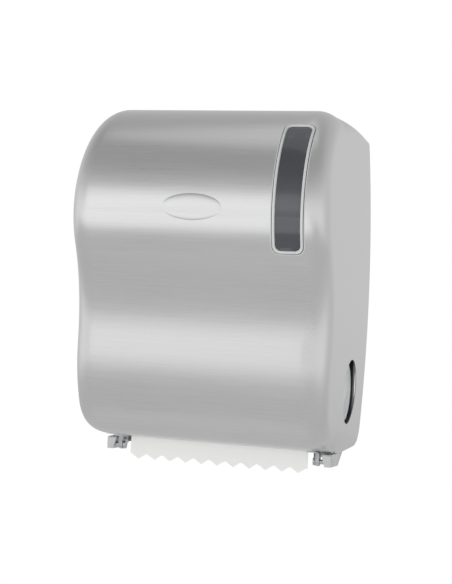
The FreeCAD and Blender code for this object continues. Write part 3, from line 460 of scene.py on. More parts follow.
def subdivided(loop, step):
    """The same closed loop, with long edges cut into shorter ones."""
    cut = []
    for first, last in zip(loop, loop[1:] + loop[:1]):
        count = max(1, round(math.dist(first, last) / step))
        for number in range(count):
            cut.append((mix(first[0], last[0], number / count), mix(first[1], last[1], number / count)))
    return cut


# %% [markdown]
# The window is upright and narrow, beside the right corner. Its outline is a rounded rectangle on
# the flat pattern, given by the levels that its two ends reach on the front.

# %% The window's outline on the front
WINDOW_X = 96.9
WINDOW_WIDTH = 33.6
WINDOW_LOW, WINDOW_HIGH = 204.0, 335.0
window_low_run, window_high_run = run_of(WINDOW_LOW), run_of(WINDOW_HIGH)


def window_loop(inset, corner=8.0):
    """Rounded rectangle on the front, as (length along the profile, x) pairs. Every inset gives
    the same number of points, so that two loops can be joined into a band."""
    half = WINDOW_WIDTH / 2.0 - inset
    loop = rounded_loop(WINDOW_X - half, WINDOW_X + half, window_low_run + inset,
                        window_high_run - inset, max(1.0, corner - inset / 2.0))
    cuts = {8: 36, 17: 6, 26: 36, 35: 6}  # pieces in each of the four long edges
    places = []
    for number, (first, last) in enumerate(zip(loop, loop[1:] + loop[:1])):
        count = cuts.get(number, 1)
        places += [(mix(first[1], last[1], step / count), mix(first[0], last[0], step / count))
                   for step in range(count)]
    return places


print(f"window from {window_low_run:.1f} to {window_high_run:.1f} mm along the profile")

# %% [markdown]
# The front patch takes in both corners. Its columns are about 13 mm apart on the flat of the front
# and closer round the corners, and its rows are the profile's own stops.

# %% The front of the cover
ACROSS = [side * value for value in (0, 13, 26, 39, 52, 65, 78, 91, FLAT) for side in (1, -1)]
ACROSS += [side * (FLAT + ROUND * number / 12.0) for number in range(1, 13) for side in (1, -1)]
ACROSS = sorted(set(ACROSS))
EDGE = FLAT + ROUND


def front_patch():
    hole = [(length, across_of(length, x)) for length, x in window_loop(2.0)]
    outline = [(reach, -EDGE) for reach in run] + [(run[-1], across) for across in ACROSS[1:-1]]
    outline += [(reach, EDGE) for reach in reversed(run)] + [(0.0, across) for across in ACROSS[-2:0:-1]]
    grid = [(reach, across) for reach in run[1:-1] for across in ACROSS[1:-1]]
    points, faces = fill(outline, [hole], grid, 1.4)
    return [skin_point(*place) for place in points], faces


print("front pattern:", len(run), "rows of", len(ACROSS), "places")

# %% [markdown]
# Each side wall starts where the corner ends. Below a soft crease it leans inwards as a skirt, and a
# seam in the pattern keeps that crease as one clean line of edges.

# %% The side walls
WHEEL_DEPTH, WHEEL_LEVEL, WHEEL_HOLE = 81.6, 65.0, 34.6
SIDE_GRID = 9.0


def side_outline():
    """The side wall's edge as (depth, z): toe, open lower edge, lip, corner, top, wall."""
    toe = [(TOE_RADIUS * (1 - math.sin(turn)), TOE_RADIUS * (1 - math.cos(turn)))
           for turn in (math.radians(degrees) for degrees in range(90, -1, -10))]
    lower = [(mix(TOE_RADIUS, LIP_DEPTH, number / 14.0), 0.0) for number in range(1, 14)]
    levels = [unlifted_point(0.0, across).z / MM for across in ACROSS if across > FLAT]
    upright = [(LIP_DEPTH, 0.0)] + [(LIP_DEPTH, z) for z in levels if z > 0.3]
    corner = []
    for reach in run[1:]:
        depth, z, normal, radius = stop_at(reach)
        corner.append((depth - radius * normal[0], z - radius * normal[1]))
    wall = [(0.0, mix(corner[-1][1], TOE_RADIUS, number / 36.0)) for number in range(1, 36)]
    return toe + lower + upright + corner + wall


def side_patch(pierced):
    """The flat pattern of one side wall. Only the right one is pierced for the hand wheel."""
    outline = side_outline()
    hole = [(WHEEL_DEPTH + WHEEL_HOLE * math.cos(turn), WHEEL_LEVEL + WHEEL_HOLE * math.sin(turn))
            for turn in (math.tau * number / 72.0 for number in range(72))]
    seam = [(depth, crease_level(depth)) for depth in (mix(9.0, LIP_DEPTH - 1.5, number / 16.0)
                                                       for number in range(17))]
    grid = [(SIDE_GRID * column, SIDE_GRID * row) for column in range(1, 28) for row in range(1, 38)]
    grid = [place for place in grid if abs(place[1] - crease_level(place[0])) > 2.5]
    return fill(outline, [hole] if pierced else [], grid, 2.5, [seam])


def side_point(depth, z, side):
    """A point of one side wall, bowed a little and leaning inwards below the crease."""
    lean = 0.0
    if depth < LIP_DEPTH + 1e-6 and z < crease_level(depth):
        lean = SKIRT_LEAN * (crease_level(depth) - z)
    return settled(at(side * (side_half_width(z) - lean), depth, z))


print("side pattern:", len(side_outline()), "points round its edge")

# %% [markdown]
# Every piece is placed in the same way: its mesh becomes an object, gets its finish and rides on one
# of the moving bodies. A mesh is welded and its hard edges are marked before use, so that curved
# faces shade smoothly and corners stay crisp.

# %% Pieces and their meshes
def placed(mesh, name, material, body):
    """Puts a mesh into the scene as a piece that rides on a body."""
    mesh.name = name
    mesh.materials.append(material)
    piece = bpy.data.objects.new(name, mesh)
    bpy.context.scene.collection.objects.link(piece)
    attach(piece, body)
    return piece


def new_piece(name, vertices, faces, material, body):
    mesh = bpy.data.meshes.new(name)
    mesh.from_pydata([tuple(vertex) for vertex in vertices], [], faces)
    return placed(mesh, name, material, body)


def ring_faces(rings, steps, closed=False, first=0):
    """Faces between rings of points that follow one another, each ring a number of steps round."""
    faces = []
    for ring in range(rings if closed else rings - 1):
        low, high = first + ring * steps, first + (ring + 1) % rings * steps
        faces += [(low + number, low + (number + 1) % steps, high + (number + 1) % steps, high + number)
                  for number in range(steps)]
    return faces


def tidy_mesh(piece, sharp_angle=35.0, weld=2e-6):
    """Welds a mesh, turns its faces outward and marks its hard edges."""
    work = bmesh.new()
    work.from_mesh(piece.data)
    bmesh.ops.remove_doubles(work, verts=work.verts, dist=weld)
    bmesh.ops.recalc_face_normals(work, faces=work.faces)
    mark_sharp(work, sharp_angle)
    work.to_mesh(piece.data)
    work.free()


def mark_sharp(work, sharp_angle):
    """Smooth shading, except over edges that turn by more than an angle."""
    for face in work.faces:
        face.smooth = True
    limit = math.radians(sharp_angle)
    for edge in work.edges:
        if len(edge.link_faces) == 2:
            edge.smooth = edge.calc_face_angle(0.0) < limit


# %% [markdown]
# Sheet metal has a thickness, and its cut edges show it. The skin is copied inwards along its
# normals, and a rim joins the two along every free edge. A Solidify modifier does much the same, but
# in code the result is there at once, for the welding and the marking of edges.

# %% Give a skin its thickness
def thickened(vertices, faces, thickness, weld=2e-5, sharp_angle=35.0):
    """A closed sheet: the given skin, the same skin set back along its normals, and the rims."""
    work = bmesh.new()
    made = [work.verts.new(vertex) for vertex in vertices]
    for face in faces:
        work.faces.new([made[corner] for corner in face])
    bmesh.ops.remove_doubles(work, verts=work.verts, dist=weld)
    loose = [vertex for vertex in work.verts if not vertex.link_faces]
    bmesh.ops.delete(work, geom=loose, context="VERTS")
    bmesh.ops.recalc_face_normals(work, faces=work.faces)
    top = max(work.faces, key=lambda face: face.calc_center_median().z)
    if top.normal.z < 0:
        bmesh.ops.reverse_faces(work, faces=work.faces)
    work.normal_update()
    outer = list(work.verts)
    inner = {vertex: work.verts.new(vertex.co - vertex.normal * thickness) for vertex in outer}
    rims = [edge for edge in work.edges if len(edge.link_faces) == 1]
    for face in list(work.faces):
        work.faces.new([inner[corner] for corner in reversed(face.verts)])
    for edge in rims:
        first, last = edge.verts
        loop = edge.link_loops[0]
        if loop.vert is not first:
            first, last = last, first
        work.faces.new([last, first, inner[first], inner[last]])
    mark_sharp(work, sharp_angle)
    mesh = bpy.data.meshes.new("sheet")
    work.to_mesh(mesh)
    work.free()
    return mesh


# %% [markdown]
# ## Finishes
#
# Satin stainless steel is brushed along one direction: its fine scratches stretch every highlight
# across them. The scratches are noise squeezed hard along one axis. They move the roughness and
# the normal a little and the colour hardly at all, as real scratches do.

# %% Satin steel, plated steel and bright metal
def satin_steel_recipe(place):
    long_grain = place.stretched(14.0, 900.0, 900.0).noise(1.0, 3.0, 0.6)
    fine_grain = place.stretched(60.0, 4200.0, 4200.0).noise(1.0, 2.0, 0.5)
    clouds = place.noise(9.0, 3.0, 0.55)
    grain = long_grain * 0.6 + fine_grain * 0.4
    tone = clouds.blend((0.585, 0.588, 0.588), (0.64, 0.642, 0.64))
    colour = grain.band(0.35, 0.65).blend(tone, (0.655, 0.657, 0.656))
    return {"Base_Color": colour,
            "Roughness": 0.30 + (grain - 0.5) * 0.14 + (clouds - 0.5) * 0.05,
            "Normal": bumped(place, grain, 0.06, 0.00008)}


def plated_recipe(place):
    spangle = place.noise(160.0, 3.0, 0.6)
    dulled = place.noise(28.0, 2.0)
    return {"Base_Color": spangle.blend((0.46, 0.47, 0.48), (0.62, 0.63, 0.63)),
            "Roughness": 0.32 + (dulled - 0.5) * 0.2,
            "Normal": bumped(place, spangle, 0.05, 0.0001)}


def bright_recipe(place):
    smear = place.noise(60.0, 3.0)
    return {"Base_Color": smear.blend((0.70, 0.70, 0.71), (0.80, 0.80, 0.80)),
            "Roughness": 0.12 + (smear - 0.5) * 0.08}


satin_steel = finish_named("satin_steel_sheet", satin_steel_recipe, Metallic=1.0)
plated_steel = finish_named("plated_steel", plated_recipe, Metallic=1.0)
bright_metal = finish_named("bright_metal", bright_recipe, Metallic=1.0)
print("metals:", satin_steel.name, plated_steel.name, bright_metal.name)

# %% [markdown]
# Moulded plastic is never quite even. A matt moulding has a fine spark-eroded grain from its mould
# and picks up dust, and a glossy one shows faint flow. One recipe makes both, given two colours,
# how rough the surface is and how deep its grain goes.

# %% Plastics and rubber
def moulded(name, dark, light, rough, grain_depth, **fixed):
    def recipe(place):
        grain = place.noise(1400.0, 2.0, 0.6)
        flow = place.noise(18.0, 3.0)
        return {"Base_Color": flow.blend(dark, light),
                "Roughness": rough + (flow - 0.5) * 0.12 + (grain - 0.5) * 0.06,
                "Normal": bumped(place, grain, grain_depth, 0.00012)}
    return finish_named(name, recipe, **fixed)


chassis_plastic = moulded("chassis_plastic", (0.13, 0.14, 0.15), (0.19, 0.20, 0.21), 0.5, 0.25)
lug_plastic = moulded("lug_plastic", (0.50, 0.51, 0.515), (0.60, 0.605, 0.61), 0.22, 0.04)
acetal = moulded("acetal_plastic", (0.72, 0.72, 0.69), (0.80, 0.80, 0.77), 0.38, 0.06)
drum_plastic = moulded("drum_plastic", (0.24, 0.26, 0.28), (0.32, 0.34, 0.36), 0.45, 0.2)
wheel_plastic = moulded("wheel_plastic", (0.66, 0.67, 0.68), (0.75, 0.76, 0.77), 0.36, 0.12)
bezel_plastic = moulded("bezel_plastic", (0.52, 0.53, 0.53), (0.60, 0.61, 0.61), 0.24, 0.03)
# Near-black painted shade: it stands for the shadow in the gap round the window's frame and in the slit
# beside the pane's holder.
gap_shadow = moulded("painted_gap_shade", (0.03, 0.03, 0.03), (0.05, 0.05, 0.05), 0.6, 0.1)
grip_rubber = moulded("grip_rubber", (0.03, 0.03, 0.03), (0.06, 0.06, 0.06), 0.75, 0.4)


def smoked_recipe(place):
    haze = place.noise(40.0, 3.0)
    return {"Base_Color": haze.blend((0.030, 0.035, 0.044), (0.048, 0.054, 0.066)),
            "Roughness": 0.11 + haze * 0.05,
            "Alpha": 0.76 + haze * 0.06}


smoked_plastic = finish_named("smoked_plastic", smoked_recipe, IOR=1.9)
print("smoked pane:", len(smoked_plastic.node_tree.nodes), "nodes")

# %% [markdown]
# Core board is coarse and fibrous. Towel paper is finer and embossed with small soft cells. The ends
# of the roll show the edges of its turns instead, so they get rings about the roll's own axis.

# %% Board and paper
ROLL_AXIS = (138.0, 240.0)


def board_recipe(place):
    fibre = place.noise(700.0, 4.0, 0.7)
    return {"Base_Color": fibre.blend((0.40, 0.29, 0.19), (0.56, 0.43, 0.30)),
            "Roughness": 0.85 + (fibre - 0.5) * 0.1,
            "Normal": bumped(place, fibre, 0.35, 0.0002)}


def paper_recipe(place):
    fibre = place.noise(900.0, 4.0, 0.65)
    emboss = place.node("ShaderNodeTexVoronoi", {"feature": "SMOOTH_F1"}, 0, Vector=place, Scale=420.0)
    height = emboss * 0.8 + fibre * 0.3
    return {"Base_Color": fibre.blend((0.83, 0.83, 0.82), (0.90, 0.90, 0.89)),
            "Roughness": 0.9 + (fibre - 0.5) * 0.08,
            "Normal": bumped(place, height, 0.3, 0.00025)}


def wound_recipe(place):
    """The ends of the roll: fine rings, one for every few turns of paper."""
    across, rise = place.part("Y") + ROLL_AXIS[0] * MM, place.part("Z") - ROLL_AXIS[1] * MM
    radius = (across * across + rise * rise) ** 0.5
    turns = place.node("ShaderNodeCombineXYZ", {}, 0, in0=radius * 1600.0).noise(1.0, 4.0, 0.7)
    crush = place.noise(45.0, 3.0)
    shade = (turns * 0.7 + crush * 0.3).band(0.25, 0.7)
    return {"Base_Color": shade.blend((0.62, 0.62, 0.60), (0.88, 0.88, 0.86)),
            "Roughness": 0.9 + (crush - 0.5) * 0.1,
            "Normal": bumped(place, turns, 0.7, 0.0004)}


core_board = finish_named("core_board", board_recipe)
wound_paper = finish_named("wound_paper", wound_recipe)
towel_paper = finish_named("towel_paper", paper_recipe)
print("finishes:", sorted(material.name for material in bpy.data.materials))

# %% [markdown]
# ## The steel cover
#
# The front and both side walls are laid out, bent and welded into one skin. Then the skin gets the
# thickness of the sheet, set back along its normals, so that the free edges round the lip, the
# wheel's hole and the wall show as cut steel.

# %% Build the cover
def build_cover():
    vertices, faces = front_patch()
    for side in (1, -1):
        side_pattern, side_faces = side_patch(side > 0)
        first = len(vertices)
        vertices += [side_point(depth, z, side) for depth, z in side_pattern]
        faces += [tuple(first + corner for corner in face) for face in side_faces]
    return thickened(vertices, faces, SHEET * MM)


steel_cover = placed(build_cover(), "steel_cover", satin_steel, "cover")
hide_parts("cover_shell")
print(f"cover: {len(steel_cover.data.vertices)} points, {len(steel_cover.data.polygons)} faces")

# %% [markdown]
# ## The level window
#
# The real window is a moulded frame clipped into a hole in the sheet, with a smoked pane set a
# little below it. Blender could cut the frame out of the cover with a boolean, but it would not
# follow the curve of the front. Here each ring of the frame is a rounded loop on the flat pattern,
# set in from the outline and lifted off the skin, so the whole frame is bent with the steel.

# %% Places above and below the skin
def surface_normal(length, across):
    """Outward direction of the skin, from four places close by."""
    step = 0.4
    along = skin_point(length + step, across) - skin_point(length - step, across)
    sideways = skin_point(length, across + step) - skin_point(length, across - step)
    normal = along.cross(sideways).normalized()
    outward = stop_at(length)[2]
    return normal if normal.dot(Vector((0.0, -outward[0], outward[1]))) > 0.0 else -normal


def lifted(length, x, lift):
    """A point at one lift above the skin, in millimetres."""
    across = across_of(length, x)
    return skin_point(length, across) + surface_normal(length, across) * lift * MM


def swept_ring(name, section, material):
    """A ring round the window. Its section is a closed list of (inset, lift) corners."""
    loops = [[lifted(length, x, lift) for length, x in window_loop(inset)] for inset, lift in section]
    faces = ring_faces(len(loops), len(loops[0]), True)
    piece = new_piece(name, sum(loops, []), faces, material, "cover")
    tidy_mesh(piece, 50.0)
    return piece


# %% [markdown]
# The frame is three rings: the rounded bead that is seen, a thin lip at its outer edge, and a low
# groove between them, coloured near-black as painted shade of the gap. Each section is drawn as
# (inset, lift) corners in millimetres.

# %% The window's frame
FRAME_SECTION = [(1.55, -0.1), (1.55, 0.45), (1.75, 0.8), (2.2, 1.0), (3.1, 1.0), (3.7, 0.8),
                 (4.05, 0.4), (4.2, -0.1), (4.2, -3.2), (2.2, -3.2), (2.2, -0.1)]
LIP_SECTION = [(0.0, -0.15), (0.0, 0.15), (0.2, 0.4), (0.55, 0.5), (0.85, 0.4), (0.95, 0.15),
               (0.95, -0.15)]
GROOVE_SECTION = [(0.9, -0.2), (0.9, 0.12), (1.65, 0.12), (1.65, -0.2)]

window_frame = swept_ring("window_frame", FRAME_SECTION, bezel_plastic)
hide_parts("window_bezel")
swept_ring("window_lip", LIP_SECTION, bezel_plastic)
# The groove ring is painted shade for the gap between the frame and its lip.
swept_ring("window_groove", GROOVE_SECTION, gap_shadow)
print("window frame:", len(window_frame.data.vertices), "points")

# %% [markdown]
# The pane is filled like the cover's own pattern and set back from it. Behind it sits the holder
# that the frame clips into, with a tab at the top and the bottom, a clip on the left and, on the
# right, a near-black plate that is painted shade for the slit there. They show dimly through the
# smoke, as they do on the real one.

# %% The pane and its holder
def curved_plate(name, outline, lift, thickness, grid_step, material):
    """A plate that follows the skin. Its outline is a list of (length, x) places."""
    lengths, places = [place[0] for place in outline], [place[1] for place in outline]
    rows = max(2, round((max(lengths) - min(lengths)) / grid_step))
    columns = max(2, round((max(places) - min(places)) / grid_step))
    grid = [(mix(min(lengths), max(lengths), row / rows), mix(min(places), max(places), column / columns))
            for row in range(1, rows) for column in range(1, columns)]
    points, faces = fill(outline, [], grid, grid_step * 0.3)
    mesh = thickened([lifted(length, x, lift) for length, x in points], faces, thickness * MM)
    return placed(mesh, name, material, "cover")


TAB_CORNER = 0.8


def tab_outline(low_level, high_level, low_x, high_x):
    """A small rounded tab, from two levels on the front and two places along X."""
    loop = rounded_loop(low_x, high_x, run_of(low_level), run_of(high_level), TAB_CORNER, 3)
    return [(length, x) for x, length in subdivided(loop, 3.0)]


window_pane = curved_plate("window_pane", window_loop(4.1), -0.7, 2.0, 6.0, smoked_plastic)
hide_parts("window_lens")

HOLDER_SECTION = [(3.0, -3.3), (5.6, -3.3), (5.6, -4.6), (3.0, -4.6)]
swept_ring("window_holder", HOLDER_SECTION, drum_plastic)
TABS = (("holder_top_tab", 322.0, 331.0, 91.6, 103.4, drum_plastic, "drum_plastic"),
        ("holder_bottom_tab", 206.4, 210.0, 88.0, 100.0, acetal, "bush_plastic"),
        ("holder_left_clip", 268.0, 287.0, 83.2, 86.6, wheel_plastic, "wheel_plastic"),
        # The right one is a near-black plate of painted shade for the slit beside the pane.
        ("holder_right_clip", 268.0, 285.0, 106.4, 108.4, gap_shadow, "grip_rubber"),
        ("holder_crossbar", 266.5, 270.0, 85.0, 108.5, drum_plastic, "drum_plastic"))
for name, low_level, high_level, low_x, high_x, material, slot in TABS:
    curved_plate(name, tab_outline(low_level, high_level, low_x, high_x), -3.0, 1.2, 3.0, material)
print("pane:", len(window_pane.data.vertices), "points, and", len(TABS), "tabs behind it")

# %% [markdown]
# ## The badge
#
# A bare oval pad is stuck to the front where a maker would put a name. It is pressed from the same
# satin steel, so it only shows by its rolled edge: light along one side and shaded along the other.
# Rings of one ellipse, each with its own lift, give that edge exactly.

# %% Build the badge
BADGE_LEVEL = 247.5
BADGE_HALF = (30.5, 13.2)
BADGE_RINGS = [(1.0, -0.3), (1.0, 0.02), (0.98, 0.14), (0.94, 0.26), (0.88, 0.38), (0.80, 0.48),
               (0.70, 0.55), (0.56, 0.60), (0.38, 0.63), (0.2, 0.64)]


def oval_badge():
    middle, steps = run_of(BADGE_LEVEL), 72
    vertices = []
    for share, lift in BADGE_RINGS:
        for number in range(steps):
            turn = math.tau * number / steps
            vertices.append(lifted(middle + share * BADGE_HALF[1] * math.sin(turn),
                                   share * BADGE_HALF[0] * math.cos(turn), lift))
    vertices.append(lifted(middle, 0.0, BADGE_RINGS[-1][1]))
    last = (len(BADGE_RINGS) - 1) * steps
    faces = ring_faces(len(BADGE_RINGS), steps)
    faces += [(last + number, last + (number + 1) % steps, len(vertices) - 1) for number in range(steps)]
    faces.append(tuple(range(steps - 1, -1, -1)))
    badge = new_piece("oval_badge", vertices, faces, satin_steel, "cover")
    tidy_mesh(badge, 40.0)
    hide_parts("badge_plate")
    return badge


print("badge:", len(oval_badge().data.vertices), "points")

# %% [markdown]
# ## Towel paper
#
# The towel leaves the rear of the roll, runs down behind the pressure roller, round the drum and
# out at the slot. It is one strip as wide as the roll, so its path is walked once like the cover's
# profile, and the strip is that path repeated across. Paper off a roll keeps a little curl, so the
# hanging end leans forward, and the knife leaves it with a toothed edge.

# %% The towel's path
TOWEL_HALF = 100.0
ROLL_RADIUS = 90.0
DRUM_PLACE = (WHEEL_DEPTH, WHEEL_LEVEL)
WEB_ON_DRUM, WEB_ON_ROLLER, WEB_OFF_ROLL = 35.45, 9.55, 90.55
ROLLER_TURN = math.radians(135.0)
TAIL_TIP, TOOTH_DEPTH, TOOTH_PITCH = -22.0, 6.0, 18.0
CURL_START, CURL_LENGTH = 20.0, 42.0


def towel_path():
    reach = WEB_ON_DRUM + WEB_ON_ROLLER
    roller = (DRUM_PLACE[0] + reach * math.cos(ROLLER_TURN), DRUM_PLACE[1] + reach * math.sin(ROLLER_TURN))
    across, rise = roller[0] - ROLL_AXIS[0], roller[1] - ROLL_AXIS[1]
    span = math.hypot(across, rise)
    normal = math.atan2(rise, across) - math.acos((WEB_OFF_ROLL - WEB_ON_ROLLER) / span)
    heading = math.degrees(normal) + 90.0
    path = Walk(ROLL_AXIS[0] + WEB_OFF_ROLL * math.cos(normal),
                ROLL_AXIS[1] + WEB_OFF_ROLL * math.sin(normal), heading)
    path.line(math.sqrt(span ** 2 - (WEB_OFF_ROLL - WEB_ON_ROLLER) ** 2), 8.0)
    nip_heading = math.degrees(ROLLER_TURN) - 90.0
    path.arc(WEB_ON_ROLLER, (nip_heading - heading) % 360.0, 1.5)
    path.arc(WEB_ON_DRUM, -(nip_heading + 90.0), 3.0)
    path.line(DRUM_PLACE[1] - TAIL_TIP - TOOTH_DEPTH, 4.0)
    return path.stops, normal


towel_stops, leaving_turn = towel_path()
towel_length = sum(math.hypot(after[0] - before[0], after[1] - before[1])
                   for before, after in zip(towel_stops, towel_stops[1:])) + TOOTH_DEPTH
print(f"towel strip: {towel_length:.1f} mm long to the tips of its teeth")

# %% [markdown]
# The strip is a single layer of faces, each 2 mm wide, so the teeth come out as clean points.

# %% Build the towel strip
def tail_curl(x, depth, z):
    """The free end leans forward and ripples a little across its width."""
    drop = max(0.0, CURL_START - z) / CURL_LENGTH
    ripple = math.sin(x * 0.052 + 0.6) + 0.5 * math.sin(x * 0.13 + 2.0)
    return at(x, depth + drop ** 2 * (1.5 + 0.45 * ripple), z)


def towel_strip():
    columns = [-TOWEL_HALF + 2.0 * number for number in range(int(TOWEL_HALF) + 1)]
    vertices = [tail_curl(x, depth, z) for depth, z, _ in towel_stops for x in columns]
    width, rows = len(columns), len(towel_stops)
    for x in columns:
        place = (x / TOOTH_PITCH) % 1.0
        drop = TOOTH_DEPTH * abs(1.0 - 2.0 * place)
        vertices.append(tail_curl(x, towel_stops[-1][0], TAIL_TIP + TOOTH_DEPTH - drop))
    faces = [(row * width + number, row * width + number + 1,
              (row + 1) * width + number + 1, (row + 1) * width + number)
             for row in range(rows) for number in range(width - 1)]
    faces = [face for face in faces
             if len({tuple(round(value, 7) for value in vertices[corner]) for corner in face}) > 2]
    return new_piece("hanging_towel", vertices, faces, towel_paper, "chassis")


hanging_towel = towel_strip()
tidy_mesh(hanging_towel, 80.0, 1e-7)
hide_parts("towel_web")
print("towel strip:", len(hanging_towel.data.polygons), "faces")

# %% [markdown]
# The roll is hundreds of turns of that paper. Its ends are not flat: each turn sits a hair in or
# out of its neighbours, which is what makes a roll read as wound. The ends are therefore rings with
# small seeded steps between them, and the outermost turn ends in a tiny ledge where the towel leaves.

# %% Build the roll
BORE_RADIUS = 20.6
RING_COUNT = 30
LEDGE = 0.4


def spiral(radius, turn):
    """The outer turns run in slowly to the ledge where the towel leaves the roll."""
    share = ((turn - leaving_turn) % math.tau) / math.tau
    return radius - LEDGE * share * smooth(60.0, ROLL_RADIUS, radius)


def wound_roll():
    """Rings round the roll's axis, from closed (x, radius) stops."""
    chance = random.Random(7)
    radii = [BORE_RADIUS + (ROLL_RADIUS - BORE_RADIUS - 1.2) * number / RING_COUNT
             for number in range(RING_COUNT + 1)]
    stops = [(-TOWEL_HALF + chance.uniform(0.0, 0.35), radius) for radius in radii]
    stops += [(-TOWEL_HALF + 0.35, ROLL_RADIUS - 0.3), (-TOWEL_HALF + 1.2, ROLL_RADIUS)]
    stops += [(-TOWEL_HALF + 2.0 * TOWEL_HALF * number / 8.0, ROLL_RADIUS) for number in range(1, 8)]
    stops += [(TOWEL_HALF - 1.2, ROLL_RADIUS), (TOWEL_HALF - 0.35, ROLL_RADIUS - 0.3)]
    stops += [(TOWEL_HALF - chance.uniform(0.0, 0.35), radius) for radius in reversed(radii)]
    steps, vertices = 120, []
    for x, radius in stops:
        for turn in (math.tau * number / steps for number in range(steps)):
            reach = spiral(radius, turn)
            vertices.append(at(x, ROLL_AXIS[0] + reach * math.cos(turn),
                               ROLL_AXIS[1] + reach * math.sin(turn)))
    roll = new_piece("wound_roll", vertices, ring_faces(len(stops), steps, True), towel_paper,
                     "roll")
    roll.data.materials.append(wound_paper)
    tidy_mesh(roll, 40.0)
    for face in roll.data.polygons:
        face.material_index = 1 if abs(face.normal.x) > 0.7 else 0
    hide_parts("towel_roll")
    return roll


print("roll:", len(wound_roll().data.vertices), "points")

# %% [markdown]
# ## The hand wheel
#
# Seen through the hole in the side, the wheel is a pale disc with a grip bar left standing between
# two shallow dished pockets, and flutes round its rim. It is a grid of rings and spokes. The depth
# of each point of the face comes from two smooth masks, one for the distance to the bar and one for
# the distance to the rim, so the pockets get soft edges as a moulding has.

# %% Build the hand wheel
WHEEL_RADIUS = 33.2
WHEEL_FACE = 128.9
POCKET_DEPTH = 2.4
POCKET_RIM = (27.4, 29.4)
BAR_HALF, BAR_TURN = 10.0, math.radians(35.0)
FLUTES, FLUTE_DEPTH, FLUTED_FROM = 40, 0.45, 32.6


def wheel_pocket(depth, z, radius):
    """How deep the face is dished at one place."""
    from_bar = abs((depth - WHEEL_DEPTH) * math.sin(BAR_TURN) + (z - WHEEL_LEVEL) * math.cos(BAR_TURN))
    inside_rim = 1.0 - smooth(*POCKET_RIM, radius)
    return POCKET_DEPTH * smooth(BAR_HALF - 0.8, BAR_HALF + 1.6, from_bar) * inside_rim


def flute(radius, back, turn):
    """How far the rim is cut in by its flutes at one place."""
    if radius < FLUTED_FROM or back <= 1.0:
        return 0.0
    return FLUTE_DEPTH * (0.5 + 0.5 * math.cos(FLUTES * turn))


def hand_wheel():
    """Rings of (radius, distance behind the face), from the middle of the face to the hub."""
    face = [(1.2 * number, 0.0) for number in range(1, 27)]
    rim = [(32.4, 0.15), (33.0, 0.6), (WHEEL_RADIUS, 1.3), (WHEEL_RADIUS, 10.2), (32.7, 10.9)]
    rear = [(22.0, 11.2), (10.6, 11.3), (10.0, 11.9), (10.0, 15.9), (9.6, 16.3), (6.2, 16.3)]
    rings, steps = face + rim + rear, 4 * FLUTES
    vertices = [at(WHEEL_FACE, WHEEL_DEPTH, WHEEL_LEVEL)]
    for radius, back in rings:
        for number in range(steps):
            turn = math.tau * number / steps
            reach = radius - flute(radius, back, turn)
            depth = WHEEL_DEPTH + reach * math.cos(turn)
            z = WHEEL_LEVEL + reach * math.sin(turn)
            dish = wheel_pocket(depth, z, radius) if back == 0.0 else 0.0
            vertices.append(at(WHEEL_FACE - back - dish, depth, z))
    faces = [(0, 1 + number, 1 + (number + 1) % steps) for number in range(steps)]
    faces += ring_faces(len(rings), steps, False, 1)
    last = 1 + (len(rings) - 1) * steps
    faces.append(tuple(last + number for number in range(steps)))
    wheel = new_piece("hand_wheel", vertices, faces, wheel_plastic, "drum")
    tidy_mesh(wheel, 40.0)
    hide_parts("feed_wheel")
    return wheel


print("hand wheel:", len(hand_wheel().data.vertices), "points")

# %% [markdown]
# ## Moulded and folded parts
#
# A CAD model has knife-sharp edges, and no moulding or folded plate does. A copy of each such part
# gets its flat faces merged and its hard edges rounded by a bevel, which is what catches the light
# along every real edge. The copy rides on the same body and stands for the sharp one. The lugs and
# the cover's ears also follow the bottom of the cover where it rises.

# %% Round the edges
BEVEL_STEPS = 2
BEVEL_FROM = math.radians(28.0)
MERGE_UNDER = math.radians(0.6)
FINISH_OF = {"satin_steel": satin_steel, "plain_steel": plated_steel, "bright_metal": bright_metal,
             "chassis_plastic": chassis_plastic, "lug_plastic": lug_plastic, "bush_plastic": acetal,
             "drum_plastic": drum_plastic, "wheel_plastic": wheel_plastic,
             "bezel_plastic": bezel_plastic, "smoked_plastic": smoked_plastic,
             "grip_rubber": grip_rubber, "core_board": core_board, "towel_paper": towel_paper}
SLOT_OF = {part["node"]: part["material_slot"] for part in frame["record"]["subparts"]}
SOFT_EDGES = {"right_hinge_lug": 0.6, "left_hinge_lug": 0.6, "back_plate": 0.5,
              "right_side_frame": 0.4, "left_side_frame": 0.4, "spring_housing": 0.6,
              "left_roll_arm": 0.6, "right_roll_arm": 0.6, "right_cover_ear": 0.4,
              "left_cover_ear": 0.4, "paper_chute": 0.3, "lock_catch": 0.3, "arm_bracket": 0.3,
              "lock_tongue": 0.3, "return_crank": 0.4, "right_roll_spigot": 0.4,
              "left_roll_spigot": 0.4, "knife_cam": 0.25, "lock_barrel": 0.3}
UNDER_THE_HEEL = ("right_hinge_lug", "left_hinge_lug", "right_cover_ear", "left_cover_ear")


def softened(name, width):
    """A copy of one part with its hard edges rounded to a width in millimetres."""
    node = frame["nodes"][name]
    work = bmesh.new()
    work.from_mesh(node.data)
    bmesh.ops.remove_doubles(work, verts=work.verts, dist=2e-6)
    bmesh.ops.dissolve_limit(work, angle_limit=MERGE_UNDER, verts=work.verts, edges=work.edges)
    hard = [edge for edge in work.edges
            if len(edge.link_faces) == 2 and edge.calc_face_angle(0.0) > BEVEL_FROM]
    bmesh.ops.bevel(work, geom=hard, offset=width * MM, segments=BEVEL_STEPS, profile=0.5,
                    affect="EDGES", clamp_overlap=True)
    mark_sharp(work, 32.0)
    if name in UNDER_THE_HEEL:
        for vertex in work.verts:
            vertex.co = node.matrix_world.inverted() @ settled(node.matrix_world @ vertex.co)
    mesh = bpy.data.meshes.new(name + "_soft")
    work.to_mesh(mesh)
    work.free()
    piece = placed(mesh, name + "_soft", FINISH_OF[SLOT_OF[name]], node["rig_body"])
    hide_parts(name)


for name, width in SOFT_EDGES.items():
    softened(name, width)
print("rounded:", len(SOFT_EDGES), "parts")

